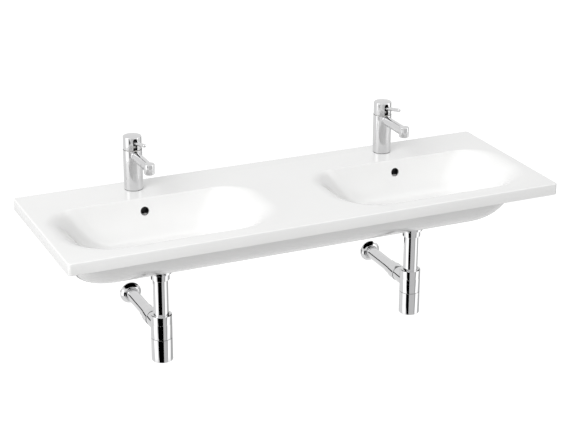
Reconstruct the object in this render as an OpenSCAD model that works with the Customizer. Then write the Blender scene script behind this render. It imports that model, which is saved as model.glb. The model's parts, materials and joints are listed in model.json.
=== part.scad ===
// Wall-hung double washbasin: one fireclay piece with two bowls, two pin-lever mixer taps,
// two pop-up wastes and two bottle traps that run to the wall.
// The origin is on the wall, on the basin's centre line, at the level of the fixing holes.
// The wall is the plane Y = 0, the front is towards -Y and Z is up.

/* [Slab] */
// Overall width of the basin
slab_w = 1300; // [1280:5:1400]
// Overall depth from the wall to the front edge
slab_d = 460; // [456:2:500]
// Height of the edge that shows all round
slab_t = 30; // [26:1:34]
// Radius of the slab's upright corners
slab_corner_r = 9; // [4:1:14]
// Radius of the slab's top edges
slab_edge_r = 3; // [1:0.5:5]
// Thickness of the deck over the hollow underside
deck_t = 18; // [15:1:20]
// Width of the lip that hangs down at the front and the sides
lip_w = 18; // [12:1:22]
// Height of the deck above the wall fixing holes
fixing_drop = 65; // [58:1:75]

/* [Bowls] */
// Distance between the centres of the two bowls
bowl_pitch = 704; // [696:2:712]
// Width of each bowl at the deck
bowl_w = 562; // [554:2:566]
// Front to back size of each bowl at the deck
bowl_l = 292; // [288:1:294]
// Distance from the wall to the back edge of the bowls
bowl_back = 130; // [126:1:134]
// Depth of each bowl where its sides end
bowl_depth = 106; // [90:1:110]
// Further fall of the bowl floor to the waste
floor_fall = 6; // [3:0.5:8]
// Radius of a bowl's front corners at the deck
bowl_corner_r = 130; // [120:1:134]
// Radius of a bowl's back corners at the deck
bowl_back_corner_r = 90; // [80:1:100]
// Corner radius of a bowl at its floor
floor_corner_r = 48; // [36:1:50]
// Width of the soft rounding where the side walls leave the deck
side_brow = 70; // [64:1:74]
// Slope of the side walls halfway down
side_belly = 85; // [80:1:90]
// Distance from the bowl's end to the foot of its side wall
side_run = 150; // [144:1:156]
// Slope of the upper back wall of the bowl
back_brow = 2; // [0:0.5:4]
// Slope of the back wall halfway down
back_belly = 6; // [4:0.5:12]
// Distance from the bowl's back edge to the foot of its back wall
back_run = 68; // [60:1:70]
// Width of the soft rounding where the front wall leaves the deck
front_brow = 42; // [38:1:46]
// Slope of the front wall halfway down
front_belly = 46; // [42:1:50]
// Distance from the bowl's front edge to the foot of its front wall
front_run = 122; // [118:1:124]

/* [Underbody] */
// Width of the underbody where it meets the slab
tub_w = 1236; // [1234:2:1250]
// Setback of the underbody behind the slab's front edge
tub_setback = 42; // [38:1:46]
// Depth of the underbody below the deck
tub_depth = 150; // [144:1:152]
// Drop of the upright upper part of the underbody's skin
tub_wall_drop = 55; // [50:1:60]
// Height over which the skin rounds into the bottom
tub_foot_rise = 25; // [20:1:30]
// Slope of the front skin just under the slab
tub_front_brow = 8; // [6:1:10]
// Slope of the front skin halfway down
tub_front_belly = 84; // [80:1:88]
// Distance from the top to the foot of the front skin
tub_front_run = 150; // [146:1:154]
// Slope of the end skins
tub_end_belly = 38; // [36:1:40]
// Distance from the top to the foot of the end skins
tub_end_run = 66; // [62:1:70]
// Corner radius of the underbody just under the slab, seen from below
tub_corner_r = 150; // [130:1:152]
// Corner radius of the underbody at its bottom, seen from below
tub_foot_r = 64; // [50:1:70]
// Least thickness of the fireclay walls
shell_t = 14; // [12:0.5:15]
// Thickness of the back wall that carries the basin
flange_t = 16; // [12:1:20]
// Half width of the solid round each overflow duct and waste
rib_half_w = 36; // [34:1:40]
// Width of the open space behind the bowls
bay_w = 1080; // [1060:5:1090]
// Distance from the taps to the front wall of the open space
bay_run = 31; // [30:0.5:32]
// Distance from the wall to the front of the hollows at the two ends
end_well_front = 225; // [220:1:230]

/* [Holes] */
// Diameter of the tap holes
tap_hole_d = 35; // [33:0.5:37]
// Distance from the wall to the taps
tap_back = 56; // [54:1:60]
// Diameter of the wall fixing holes
fixing_hole_d = 14; // [10:0.5:16]
// Distance between the two fixing holes of one pair
fixing_pitch = 280; // [240:5:300]
// Diameter of the overflow openings
overflow_d = 22; // [18:0.5:24]
// Depth of the overflow openings below the deck
overflow_drop = 34; // [30:1:38]
// Diameter of the duct from the overflow to the waste
duct_d = 14; // [10:0.5:15]
// Distance from the wall to the wastes
waste_back = 237; // [235:1:240]
// Diameter of the waste holes
waste_hole_d = 46; // [44.5:0.5:48]
// Depth of the round seat for the waste flange
waste_seat = 3; // [2:0.5:4]

/* [Taps] */
// Diameter of the tap body
tap_d = 48; // [46.5:0.5:52]
// Diameter of the handle on top of the tap
handle_d = 46.5; // [45:0.5:46.5]
// Height of the tap above the deck
tap_h = 140; // [140:1:150]
// Height of the joint between body and handle
seam_z = 105.5; // [105.5:0.5:106]
// Diameter of the spout tube
spout_d = 24.5; // [22:0.5:24.5]
// Height of the spout's centre line
spout_z = 93; // [90:0.5:93]
// Distance from the tap's axis to the middle of the outlet
spout_reach = 123; // [90:1:140]
// Diameter of the upright end of the spout
spout_end_d = 26; // [25:0.5:30]
// Distance that the upright end hangs below the spout tube
spout_end_drop = 0.5; // [0:0.5:6]
// Bore of the spout
spout_bore = 10; // [8:0.5:10.5]
// Bore of the hollow foot of the tap
tap_foot_bore = 38; // [34:0.5:40]
// Height of the hollow foot of the tap
tap_foot_h = 68; // [50:1:70]
// Bore of the supply inlets in the tap
inlet_d = 9; // [8:0.5:10]
// Depth of the supply inlets
inlet_l = 12; // [8:1:14]
// Distance between the two supply inlets
inlet_pitch = 16; // [15:0.5:18]
// Thickness of the seal under the tap
tap_seal_t = 1.2; // [0.8:0.2:3]
// Diameter of the neck that holds the cartridge
neck_d = 38; // [37:0.5:39]
// Diameter of the cartridge
cartridge_d = 29.6; // [27:0.2:30.4]
// Diameter of the cartridge's rotating spindle
spindle_d = 18; // [14:0.5:20]
// Diameter of the lever pin
lever_d = 9; // [7:0.5:9]
// Distance from the lever's pivot to its tip
lever_reach = 99; // [70:1:120]
// Slope of the lever at rest
lever_rise = 12.4; // [9:0.2:12.6]
// Height of the lever's pivot above the joint
pivot_rise = 16.5; // [16.5:0.1:16.8]
// Diameter of the lever's pivot pin
pivot_d = 3; // [2:0.25:4]
// Wall of the handle
cap_wall = 3.2; // [2.6:0.2:3.2]
// Thickness of the handle's top
cap_top_t = 3.8; // [2.5:0.1:4]
// Width of the slot that the lever comes out of
slot_w = 11; // [10:0.5:14]
// Height of the slot above the joint
slot_h = 32.1; // [32.1:0.1:32.4]
// Rounding of the handle's top edge
cap_edge_r = 1.6; // [0.5:0.1:2]
// Diameter of the fixing stud
stud_d = 8; // [6:1:8]
// Length of the fixing stud
stud_l = 132; // [125:1:150]
// Diameter of the clamp washer under the deck
clamp_d = 44; // [42:1:50]

/* [Wastes] */
// Diameter of the waste flange in the bowl
flange_d = 64; // [60:1:66]
// Outside diameter of the waste's threaded tail
tail_d = 42; // [40:0.5:43]
// Wall of the tail
tail_wall = 3; // [2:0.25:3.5]
// Diameter of the pop-up plug
plug_d = 50; // [44:1:54]
// Diameter of the plug's stem
plug_stem_d = 10; // [8:0.5:12]
// Diameter of the back nut under the basin
back_nut_d = 58; // [52:1:58]
// Thickness of the back nut
back_nut_t = 7; // [6:0.5:8]

/* [Traps] */
// Diameter of the collar nut under the basin
collar_d = 47; // [46.5:0.5:52]
// Height of the collar nut
collar_h = 16; // [14:0.5:20]
// Outside diameter of the upright tube
tube_d = 38; // [32:0.5:38]
// Wall of the tubes and of the bottle
tube_wall = 1.5; // [1:0.25:1.75]
// Outside diameter of the bottle
bottle_d = 54; // [54:0.5:64]
// Depth of the bottle's top below the deck
bottle_top = 272.5; // [262:0.5:278]
// Height of the bottle
bottle_h = 124.5; // [120:0.5:150]
// Height of the union nut on the bottle
union_h = 23; // [20:0.5:26]
// Depth of the outlet pipe's centre line below the bottle's top
outlet_drop = 38.5; // [38:0.5:42]
// Height of the cup that unscrews from the bottle
cup_h = 62; // [50:1:66]
// Outside diameter of the outlet pipe
pipe_d = 32; // [28:0.5:32]
// Diameter of the port from the bottle into the outlet pipe
outlet_port_d = 24; // [18:0.5:27]
// Diameter of the outlet boss on the bottle
boss_d = 40; // [38.5:0.5:42]
// Distance from the wall to the end of the outlet boss
boss_back = 166; // [155:1:180]
// Diameter of the outlet nut
outlet_nut_d = 42; // [41.5:0.5:46]
// Diameter of the outlet nut's slim end
outlet_nut_slim_d = 36; // [34.5:0.5:38]
// Length of the outlet nut's wide part
outlet_nut_l = 28; // [20:1:32]
// Length of the outlet nut's slim end
outlet_nut_slim_l = 26; // [10:1:30]
// Diameter of the wall rose
rose_d = 57; // [50:1:70]
// Depth of the wall rose
rose_l = 12; // [8:0.5:20]

/* [Hidden] */
SIDES = ["left", "right"];
PER_SIDE = [
    "tap_body", "tap_cartridge", "tap_turret", "tap_pivot_pin", "tap_handle", "tap_lever",
    "tap_lever_stem", "tap_aerator", "waste_body", "waste_back_nut", "waste_plug",
    "waste_plug_seal", "trap_collar_nut", "trap_inlet_tube", "trap_union_nut", "trap_bottle",
    "trap_cup", "trap_outlet_nut", "outlet_pipe", "wall_rose"
];
SHARED = [
    "basin", "tap_base_seals", "tap_cartridge_nuts", "tap_slide_rings", "tap_studs",
    "tap_clamp_pads", "tap_clamp_washers", "tap_stud_nuts", "waste_top_seals",
    "waste_lower_seals", "waste_plug_guides", "trap_inlet_seals", "trap_union_seals",
    "trap_cup_seals", "trap_outlet_seals"
];
$fn = 64;
// Extra length of a cutter past the face that it cuts
over = 1;
// Clearance round a fixed piece that is pushed or screwed in
fit = 0.1;
// Clearance round a shaft that turns or slides
run = 0.05;
// Clearance between faces that pass each other
pass = 0.3;

// Levels and sections of the fireclay, measured from the deck, down being negative
waste_z = -(bowl_depth + floor_fall);
seat_z = waste_z - waste_seat;
waste_seat_d = flange_d + 3;
bowl_steps = 9;
tub_steps = 9;
corner_steps = 8;
wall_curve = [0, 0, -bowl_depth, -bowl_depth];
side_curve = [0, side_brow, side_belly, side_run];
back_curve = [0, back_brow, back_belly, back_run];
front_curve = [0, front_brow, front_belly, front_run];
tub_curve = [-slab_t, -slab_t - tub_wall_drop, -tub_depth + tub_foot_rise, -tub_depth];
tub_front_curve = [
    tub_setback, tub_setback + tub_front_brow, tub_setback + tub_front_belly, tub_setback + tub_front_run
];
tub_end_curve = [0, tub_end_belly, tub_end_belly, tub_end_run];
floor_skin = shell_t - 2;
well_back = tap_back + bay_run;
duct_top = [-(bowl_back - shell_t - duct_d / 2 + 12), -overflow_drop];
duct_bend = [duct_top[0] - 6, waste_z + 12];
duct_foot = [-(waste_back - waste_hole_d / 2 + 10), seat_z - 20];

// Levels of the tap, measured from the deck, up being positive
outlet_z = spout_z - spout_d / 2 - spout_end_drop;
cartridge_seat = seam_z - 7;
cartridge_step = cartridge_seat + 6;
cartridge_top = cartridge_seat + 15;
neck_top = cartridge_seat + 13;
nut_flange_top = neck_top + 3;
nut_d = neck_d - 4.8;
nut_bore = cartridge_d - 3.2;
slide_t = 0.6;
handle_z = seam_z + slide_t + pass;
handle_inner_d = handle_d - 2 * cap_wall;
handle_ceiling = tap_h - cap_top_t;
pivot_z = seam_z + pivot_rise;
plate_z = nut_flange_top + pass;
hub_d = lever_d - 1;
plate_t = pivot_z - hub_d / 2 - pass - plate_z;
cheek_gap = 8;
cheek_t = 5;
spigot_d = 4.8;
stem_l = 13;
stud_y = -12;
inlet_y = 6;
clamp_pad_t = 3;
clamp_t = 2.5;
stud_nut_h = 8;
stud_bottom = tap_foot_h + 10 - stud_l;

// Levels of the waste and the trap, measured from the deck, down being negative
top_seal_t = 1.5;
flange_z = seat_z + top_seal_t;
flange_edge_t = 2;
flange_top = flange_z + flange_edge_t;
tail_bore = tail_d - 2 * tail_wall;
lower_seal_t = 3;
back_nut_z = -tub_depth - lower_seal_t;
collar_top = back_nut_z - back_nut_t - 1;
collar_bottom = collar_top - collar_h;
collar_lip = 3;
tube_flange_t = 2;
inlet_seal_t = 2;
tube_top = collar_bottom + collar_lip + tube_flange_t;
tail_end = tube_top + inlet_seal_t;
spider_z = flange_z - 26;
spider_h = 12;
hub_spider_d = plug_stem_d + 6;
plug_seal_t = 1.6;
plug_z = flange_top + plug_seal_t + 0.2;
bottle_neck_d = bottle_d - 4;
bottle_bore = bottle_d - 2 * (tube_wall + 1.5);
shoulder_z = -bottle_top - union_h;
outlet_z_trap = -bottle_top - outlet_drop;
bottle_bottom = -bottle_top - bottle_h;
cup_top = bottle_bottom + cup_h;
cup_thread_h = 12;
union_lip = 4;
pipe_end = boss_back + 8;

function bezier(p, t) =
    p[0] * pow(1 - t, 3) + 3 * p[1] * pow(1 - t, 2) * t
    + 3 * p[2] * (1 - t) * pow(t, 2) + p[3] * pow(t, 3);

// A rounded rectangle from four arcs, anticlockwise from above, at one level
function rounded_ring(x0, x1, y0, y1, back_r, front_r, z) = [
    for (q = [0:3]) for (k = [0:corner_steps])
        let (a = 90 * (q + k / corner_steps))
        let (r = (q < 2) ? back_r : front_r)
        let (cx = (q == 0 || q == 3) ? x1 - r : x0 + r)
        let (cy = (q < 2) ? y1 - r : y0 + r)
        [cx + r * cos(a), cy + r * sin(a), z]
];

// The bowl's outline at one step of its wall
function bowl_ring(t) = rounded_ring(
    -bowl_w / 2 + bezier(side_curve, t), bowl_w / 2 - bezier(side_curve, t),
    -bowl_back - bowl_l + bezier(front_curve, t), -bowl_back - bezier(back_curve, t),
    bowl_back_corner_r + (floor_corner_r - bowl_back_corner_r) * t,
    bowl_corner_r + (floor_corner_r - bowl_corner_r) * t, bezier(wall_curve, t)
);

// The underbody's outline at one step of its wall, square against the wall
function tub_ring(t) =
    let (half = tub_w / 2 - bezier(tub_end_curve, t))
    let (front = -slab_d + bezier(tub_front_curve, t))
    let (r = tub_corner_r + (tub_foot_r - tub_corner_r) * t)
    let (ring = rounded_ring(-half, half, front, 0, r, r, bezier(tub_curve, t)))
    let (arcs = corner_steps + 1)
    concat(
        [[half, 0, ring[0][2]], [-half, 0, ring[0][2]]],
        [for (k = [2 * arcs:4 * arcs - 1]) ring[k]]
    );

function at_level(ring, z) = [for (p = ring) [p[0], p[1], z]];
function flat_points(rings) = [for (ring = rings) for (p = ring) p];

// A closed skin over rings that run downwards, all with the same number of points
module loft(rings) {
    n = len(rings[0]);
    last = (len(rings) - 1) * n;
    walls = [
        for (i = [0:len(rings) - 2]) for (k = [0:n - 1])
            let (a = i * n + k)
            let (b = i * n + (k + 1) % n)
            each [[a, b, b + n], [a, b + n, a + n]]
    ];
    top = [[for (k = [n - 1:-1:0]) k]];
    bottom = [[for (k = [0:n - 1]) last + k]];
    polyhedron(points = flat_points(rings), faces = concat(top, walls, bottom));
}

module tube(d, bore, z0, z1) {
    difference() {
        translate([0, 0, z0]) cylinder(d = d, h = z1 - z0);
        translate([0, 0, z0 - over]) cylinder(d = bore, h = z1 - z0 + 2 * over);
    }
}

// A cylinder along Y from y0 to y1
module rod_y(d, y0, y1) {
    translate([0, y1, 0]) rotate([90, 0, 0]) cylinder(d = d, h = y1 - y0);
}

// A straight round duct between two points of one upright plane
module duct(d, a, b) {
    run_y = b[0] - a[0];
    run_z = b[1] - a[1];
    translate([0, a[0], a[1]])
        rotate([atan2(-run_y, run_z), 0, 0])
            cylinder(d = d, h = norm([run_y, run_z]));
}

// Sets the pieces of one side over its bowl, from the level of the deck
module on_side(side) {
    x = (side == "left" ? -1 : 1) * bowl_pitch / 2;
    translate([x, 0, fixing_drop]) children();
}

module on_both_sides() {
    for (side = SIDES) on_side(side) children();
}

module at_tap() {
    translate([0, -tap_back, 0]) children();
}

module at_waste() {
    translate([0, -waste_back, 0]) children();
}

module round_top_profile(w, h, r) {
    difference() {
        translate([-w / 2, 0]) square([w, h]);
        for (end = [-1, 1]) {
            difference() {
                translate([end * (w / 2 - r / 2 + over / 2) - (r + over) / 2, h - r])
                    square([r + over, r + over]);
                translate([end * (w / 2 - r), h - r]) circle(r = r);
            }
        }
    }
}

module slab_plan() {
    r = slab_corner_r;
    translate([-slab_w / 2 + r, -slab_d]) square([slab_w - 2 * r, slab_d]);
    translate([-slab_w / 2, -slab_d + r]) square([slab_w, slab_d - 2 * r]);
    for (x = [-1, 1]) {
        for (y = [r, slab_d - r]) translate([x * (slab_w / 2 - r), -y]) circle(r = r);
    }
}

module slab() {
    intersection() {
        translate([0, 0, -slab_t]) linear_extrude(slab_t) slab_plan();
        translate([0, over, -slab_t])
            rotate([90, 0, 0])
                linear_extrude(slab_d + 2 * over) round_top_profile(slab_w, slab_t, slab_edge_r);
        translate([-slab_w / 2 - over, -slab_d / 2, -slab_t])
            rotate([90, 0, 90])
                linear_extrude(slab_w + 2 * over) front_profile();
    }
}

// The slab's section from the wall to the front, with only the front edge rounded
module front_profile() {
    r = slab_edge_r;
    translate([-slab_d / 2, 0]) square([slab_d, slab_t - r]);
    translate([-slab_d / 2 + r, 0]) square([slab_d - r, slab_t]);
    translate([-slab_d / 2 + r, slab_t - r]) circle(r = r);
}

module tub() {
    steps = [for (i = [0:tub_steps]) tub_ring(i / tub_steps)];
    loft(concat([at_level(steps[0], -deck_t)], steps));
}

module bowl_space() {
    steps = [for (i = [0:bowl_steps]) bowl_ring(i / bowl_steps)];
    foot_r = waste_seat_d / 2 + over;
    foot = [
        for (q = [0:3]) for (k = [0:corner_steps])
            let (a = 90 * q + 90 * (k + 0.5) / (corner_steps + 1))
            [foot_r * cos(a), -waste_back + foot_r * sin(a), waste_z]
    ];
    loft(concat([at_level(steps[0], over)], steps, [foot]));
}

// Section of the open space behind the bowls, which follows their back wall
module bay_section() {
    wall = [
        for (t = [0.25, 0.5, 0.75, 0.9])
            [-(bowl_back + bezier(back_curve, t)) + shell_t, bezier(wall_curve, t)]
    ];
    polygon(concat(
        [[-flange_t, -tub_depth - over], [-flange_t, -deck_t], [-bowl_back + shell_t, -deck_t]],
        wall, [[wall[3][0], -tub_depth - over]]
    ));
}

// Section, seen from the side, of the closed hollows in front of the bay
module hollow_section() {
    skin = [
        for (t = [0.1, 0.3, 0.5, 0.7])
            [-slab_d + bezier(tub_front_curve, t) + shell_t, bezier(tub_curve, t) + shell_t * t]
    ];
    bottom = -tub_depth + floor_skin;
    polygon(concat(
        [[-well_back + over, bottom], [-well_back + over, -deck_t], [skin[0][0], -deck_t]],
        skin, [[-slab_d + tub_front_curve[3] - 4, bottom]]
    ));
}

// Outline, seen from the front, of the hollow between the bowls and under their inner walls
module middle_section() {
    bottom = -tub_depth + floor_skin;
    wall = [
        for (t = [0, 0.4, 0.6, 0.8, 0.9])
            [bowl_pitch / 2 - bowl_w / 2 + bezier(side_curve, t) - shell_t, bezier(wall_curve, t)]
    ];
    foot = bowl_pitch / 2 - rib_half_w;
    half = concat(
        [[wall[0][0], -deck_t]], [for (k = [1:4]) wall[k]],
        [[wall[4][0] + 20, waste_z - floor_skin], [foot, waste_z - floor_skin], [foot, bottom]]
    );
    polygon(concat(half, [for (k = [7:-1:0]) [-half[k][0], half[k][1]]]));
}

// Outline, seen from the front, of the hollow under the outer wall of one bowl
module end_section() {
    bottom = -tub_depth + floor_skin;
    wall = [
        for (t = [0.9, 0.8, 0.6, 0.45])
            [bowl_pitch / 2 + bowl_w / 2 - bezier(side_curve, t) + shell_t, bezier(wall_curve, t)]
    ];
    skin = [
        for (t = [0.15, 0.35, 0.55, 0.75])
            [tub_w / 2 - bezier(tub_end_curve, t) - shell_t, bezier(tub_curve, t)]
    ];
    foot = bowl_pitch / 2 + rib_half_w;
    polygon(concat(
        [[foot, bottom], [foot, waste_z - floor_skin], [wall[0][0] - 20, waste_z - floor_skin]],
        wall, skin, [[skin[3][0] - 14, bottom]]
    ));
}

module along_x(x0, x1) {
    translate([x0, 0, 0]) rotate([90, 0, 90]) linear_extrude(x1 - x0) children();
}

// Extrudes a section seen from the front over the range from y0 back to y1
module along_y(y0, y1) {
    translate([0, y1, 0]) rotate([90, 0, 0]) linear_extrude(y1 - y0) children();
}

module bay() {
    rib_in = bowl_pitch / 2 - rib_half_w;
    rib_out = bowl_pitch / 2 + rib_half_w;
    along_x(-rib_in, rib_in) bay_section();
    along_x(rib_out, bay_w / 2) bay_section();
    along_x(-bay_w / 2, -rib_out) bay_section();
    translate([-bay_w / 2, -well_back, -tub_depth - over])
        cube([bay_w, well_back - flange_t, tub_depth + over - deck_t]);
}

module hollows() {
    intersection() {
        along_x(-bowl_pitch / 2, bowl_pitch / 2) hollow_section();
        along_y(-slab_d, 0) middle_section();
    }
    along_y(-end_well_front, -well_back + over) end_section();
    along_y(-end_well_front, -well_back + over) mirror([1, 0]) end_section();
}

// The shallow groove between the hanging lip and the underbody
module lip_groove() {
    half = slab_w / 2 - lip_w;
    groove_w = tub_setback - lip_w;
    side_w = (slab_w - tub_w) / 2 - lip_w;
    depth = slab_t - deck_t;
    translate([-half, -slab_d + lip_w, -slab_t - over]) cube([2 * half, groove_w, depth + over]);
    for (x = [-half, half - side_w]) {
        translate([x, -slab_d + lip_w, -slab_t - over])
            cube([side_w, slab_d - lip_w - flange_t, depth + over]);
    }
}

module overflow_way() {
    translate([0, 0, -overflow_drop]) rod_y(overflow_d, -bowl_back - back_run, duct_top[0]);
    duct(duct_d, [duct_top[0] - duct_d / 2, duct_top[1]], duct_bend - [0, duct_d / 2]);
    duct(duct_d - 1, duct_bend, duct_foot);
}

module waste_hole() {
    at_waste() {
        translate([0, 0, seat_z]) cylinder(d = waste_seat_d, h = waste_seat + over);
        translate([0, 0, -tub_depth - over]) cylinder(d = waste_hole_d, h = tub_depth);
    }
}

module tap_hole() {
    at_tap() translate([0, 0, -deck_t - over]) cylinder(d = tap_hole_d, h = deck_t + 2 * over);
}

module fixing_holes() {
    for (x = [-1, 1]) {
        translate([x * fixing_pitch / 2, 0, -fixing_drop])
            rod_y(fixing_hole_d, -flange_t - over, over);
    }
}

module basin() {
    color("white") translate([0, 0, fixing_drop]) difference() {
        union() {
            slab();
            tub();
            for (x = [-1, 1]) translate([x * bowl_pitch / 2, -waste_back, -tub_depth])
                cylinder(d = back_nut_d + 4, h = tub_depth - bowl_depth);
        }
        lip_groove();
        bay();
        hollows();
        for (x = [-1, 1]) translate([x * bowl_pitch / 2, 0, 0]) {
            bowl_space();
            overflow_way();
            waste_hole();
            tap_hole();
            fixing_holes();
        }
    }
}

module tap_base_seals() {
    color("dimgray") on_both_sides() at_tap() tube(tap_d - 1, tap_hole_d + 2, 0, tap_seal_t);
}

module tap_body() {
    color("silver") at_tap() difference() {
        union() {
            translate([0, 0, tap_seal_t]) cylinder(d = tap_d, h = seam_z - tap_seal_t);
            cylinder_neck();
            translate([0, 0, spout_z]) rod_y(spout_d, -spout_reach, 0);
            translate([0, -spout_reach, outlet_z]) cylinder(d = spout_end_d, h = seam_z - outlet_z);
        }
        translate([0, 0, -over]) cylinder(d = tap_foot_bore, h = tap_foot_h + over);
        translate([0, 0, cartridge_seat])
            cylinder(d = cartridge_d + 2 * fit, h = neck_top - cartridge_seat + over);
        translate([0, 0, cartridge_step])
            cylinder(d = nut_d + 2 * fit, h = neck_top - cartridge_step + over);
        translate([0, 0, spout_z]) rod_y(spout_bore, -spout_reach, -spout_bore / 2 - 2);
        translate([0, -spout_reach, outlet_z - over]) cylinder(d = aerator_d(), h = 10 + over);
        translate([0, -spout_bore / 2 - 4, spout_z]) cylinder(d = 8, h = cartridge_seat - spout_z + over);
        for (x = [-1, 1]) translate([x * inlet_pitch / 2, inlet_y, tap_foot_h - over]) {
            cylinder(d = inlet_d, h = inlet_l + over);
            cylinder(d = inlet_d - 3, h = cartridge_seat - tap_foot_h + 2 * over);
        }
        translate([0, stud_y, tap_foot_h - over]) cylinder(d = stud_d + 2 * fit, h = 10 + over);
    }
}

module cylinder_neck() {
    translate([0, 0, seam_z - over]) cylinder(d = neck_d, h = neck_top - seam_z + over);
}

function aerator_d() = spout_end_d - 7;

module tap_slide_rings() {
    color("ivory") on_both_sides() at_tap() tube(handle_d - 1, neck_d + pass, seam_z, seam_z + slide_t);
}

module tap_cartridge() {
    color("gainsboro") at_tap() difference() {
        union() {
            translate([0, 0, cartridge_seat]) cylinder(d = cartridge_d, h = cartridge_step - cartridge_seat);
            translate([0, 0, cartridge_step]) cylinder(d = nut_bore - pass, h = cartridge_top - cartridge_step);
        }
        translate([0, 0, cartridge_seat + 2]) cylinder(d = spindle_d + 2 * run, h = cartridge_top);
        translate([0, -spout_bore / 2 - 4, cartridge_seat - over]) cylinder(d = 6, h = 4);
        for (x = [-1, 1]) translate([x * inlet_pitch / 2, inlet_y, cartridge_seat - over])
            cylinder(d = inlet_d - 4, h = 4);
    }
}

module tap_cartridge_nuts() {
    color("goldenrod") on_both_sides() at_tap() difference() {
        union() {
            translate([0, 0, cartridge_step]) cylinder(d = nut_d, h = neck_top - cartridge_step);
            translate([0, 0, neck_top]) cylinder(d = nut_d + 3.6, h = nut_flange_top - neck_top, $fn = 6);
        }
        translate([0, 0, cartridge_step - over]) cylinder(d = nut_bore, h = 20);
    }
}

module tap_turret() {
    pillar_y = handle_inner_d / 2 - 12;
    color("gainsboro") at_tap() difference() {
        union() {
            translate([0, 0, cartridge_seat + 2 + pass])
                cylinder(d = spindle_d, h = plate_z - cartridge_seat - 2 - pass);
            translate([0, 0, plate_z]) cylinder(d = nut_d, h = plate_t);
            for (x = [-1, 1]) {
                translate([x * (cheek_gap + cheek_t) / 2 - cheek_t / 2, -5, plate_z])
                    cube([cheek_t, 10, pivot_z + 5 - plate_z]);
            }
            translate([-8, pillar_y, plate_z]) cube([16, 7, handle_ceiling - plate_z]);
        }
        translate([-15, 0, pivot_z]) rotate([0, 90, 0]) cylinder(d = pivot_d + 2 * fit, h = 30);
    }
}

module tap_pivot_pin() {
    pin_l = cheek_gap + 2 * cheek_t;
    color("gray") at_tap() translate([-pin_l / 2, 0, pivot_z])
        rotate([0, 90, 0]) cylinder(d = pivot_d, h = pin_l);
}

// Turns a piece drawn along +Z into the lever's own line
module along_lever() {
    at_tap() translate([0, 0, pivot_z]) rotate([90 - lever_rise, 0, 0]) children();
}

module tap_lever_stem() {
    color("gray") difference() {
        union() {
            at_tap() translate([-(cheek_gap - pass) / 2, 0, pivot_z])
                rotate([0, 90, 0]) cylinder(d = hub_d, h = cheek_gap - pass);
            along_lever() cylinder(d = hub_d - 2, h = stem_l);
            along_lever() cylinder(d = spigot_d, h = stem_l + 8);
        }
        at_tap() translate([-10, 0, pivot_z]) rotate([0, 90, 0])
            cylinder(d = pivot_d + 2 * run, h = 20);
    }
}

module tap_lever() {
    color("silver") along_lever() difference() {
        union() {
            translate([0, 0, stem_l]) cylinder(d = lever_d, h = lever_reach - lever_d / 2 - stem_l);
            translate([0, 0, lever_reach - lever_d / 2]) sphere(d = lever_d);
        }
        translate([0, 0, stem_l - over]) cylinder(d = spigot_d + 2 * fit, h = 8.5 + over);
    }
}

module tap_handle() {
    r = cap_edge_r;
    color("silver") at_tap() difference() {
        rotate_extrude() difference() {
            translate([0, handle_z]) square([handle_d / 2, tap_h - handle_z]);
            translate([0, handle_z - over])
                square([handle_inner_d / 2, handle_ceiling - handle_z + over]);
            difference() {
                translate([handle_d / 2 - r, tap_h - r]) square([r + over, r + over]);
                translate([handle_d / 2 - r, tap_h - r]) circle(r = r);
            }
        }
        lever_slot();
    }
}

// The arched slot in the front of the handle
module lever_slot() {
    arch_z = seam_z + slot_h - slot_w / 2;
    translate([-slot_w / 2, -tap_d / 2 - over, handle_z - over])
        cube([slot_w, tap_d / 2 + over - 8, arch_z - handle_z + over]);
    translate([0, 0, arch_z]) rod_y(slot_w, -tap_d / 2 - over, -8);
}

module tap_aerator() {
    d = aerator_d() - 2 * fit;
    lip_t = 1.5;
    color("silver") at_tap() translate([0, -spout_reach, 0]) difference() {
        union() {
            translate([0, 0, outlet_z]) cylinder(d = d, h = 8);
            translate([0, 0, outlet_z - lip_t]) cylinder(d = spout_end_d - 2, h = lip_t);
        }
        translate([0, 0, outlet_z - lip_t - over]) cylinder(d = d - 4, h = lip_t + 3 + over);
        for (a = [0:60:300]) rotate(a) translate([d / 4, 0, outlet_z]) cylinder(d = 3, h = 9);
        translate([0, 0, outlet_z]) cylinder(d = 3, h = 9);
    }
}

module tap_studs() {
    color("goldenrod") on_both_sides() at_tap() translate([0, stud_y, stud_bottom])
        cylinder(d = stud_d, h = stud_l);
}

// A horseshoe that leaves room for the supply hoses
module horseshoe(d, z0, t) {
    translate([0, 0, z0]) difference() {
        cylinder(d = d, h = t);
        translate([-tap_hole_d * 0.37, -4, -over]) cube([tap_hole_d * 0.74, d, t + 2 * over]);
        translate([0, stud_y, -over]) cylinder(d = stud_d + 2 * fit, h = t + 2 * over);
    }
}

module tap_clamp_pads() {
    color("dimgray") on_both_sides() at_tap() horseshoe(clamp_d, -deck_t - clamp_pad_t, clamp_pad_t);
}

module tap_clamp_washers() {
    color("lightgray") on_both_sides() at_tap()
        horseshoe(clamp_d, -deck_t - clamp_pad_t - clamp_t, clamp_t);
}

module tap_stud_nuts() {
    z = -deck_t - clamp_pad_t - clamp_t - stud_nut_h;
    color("goldenrod") on_both_sides() at_tap() translate([0, stud_y, z]) difference() {
        cylinder(d = stud_d + 7, h = stud_nut_h, $fn = 6);
        translate([0, 0, -over]) cylinder(d = stud_d + 2 * fit, h = stud_nut_h + 2 * over);
    }
}

module waste_top_seals() {
    color("dimgray") on_both_sides() at_waste()
        tube(flange_d - 2, tail_d + 2 * fit, seat_z, seat_z + top_seal_t);
}

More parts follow.
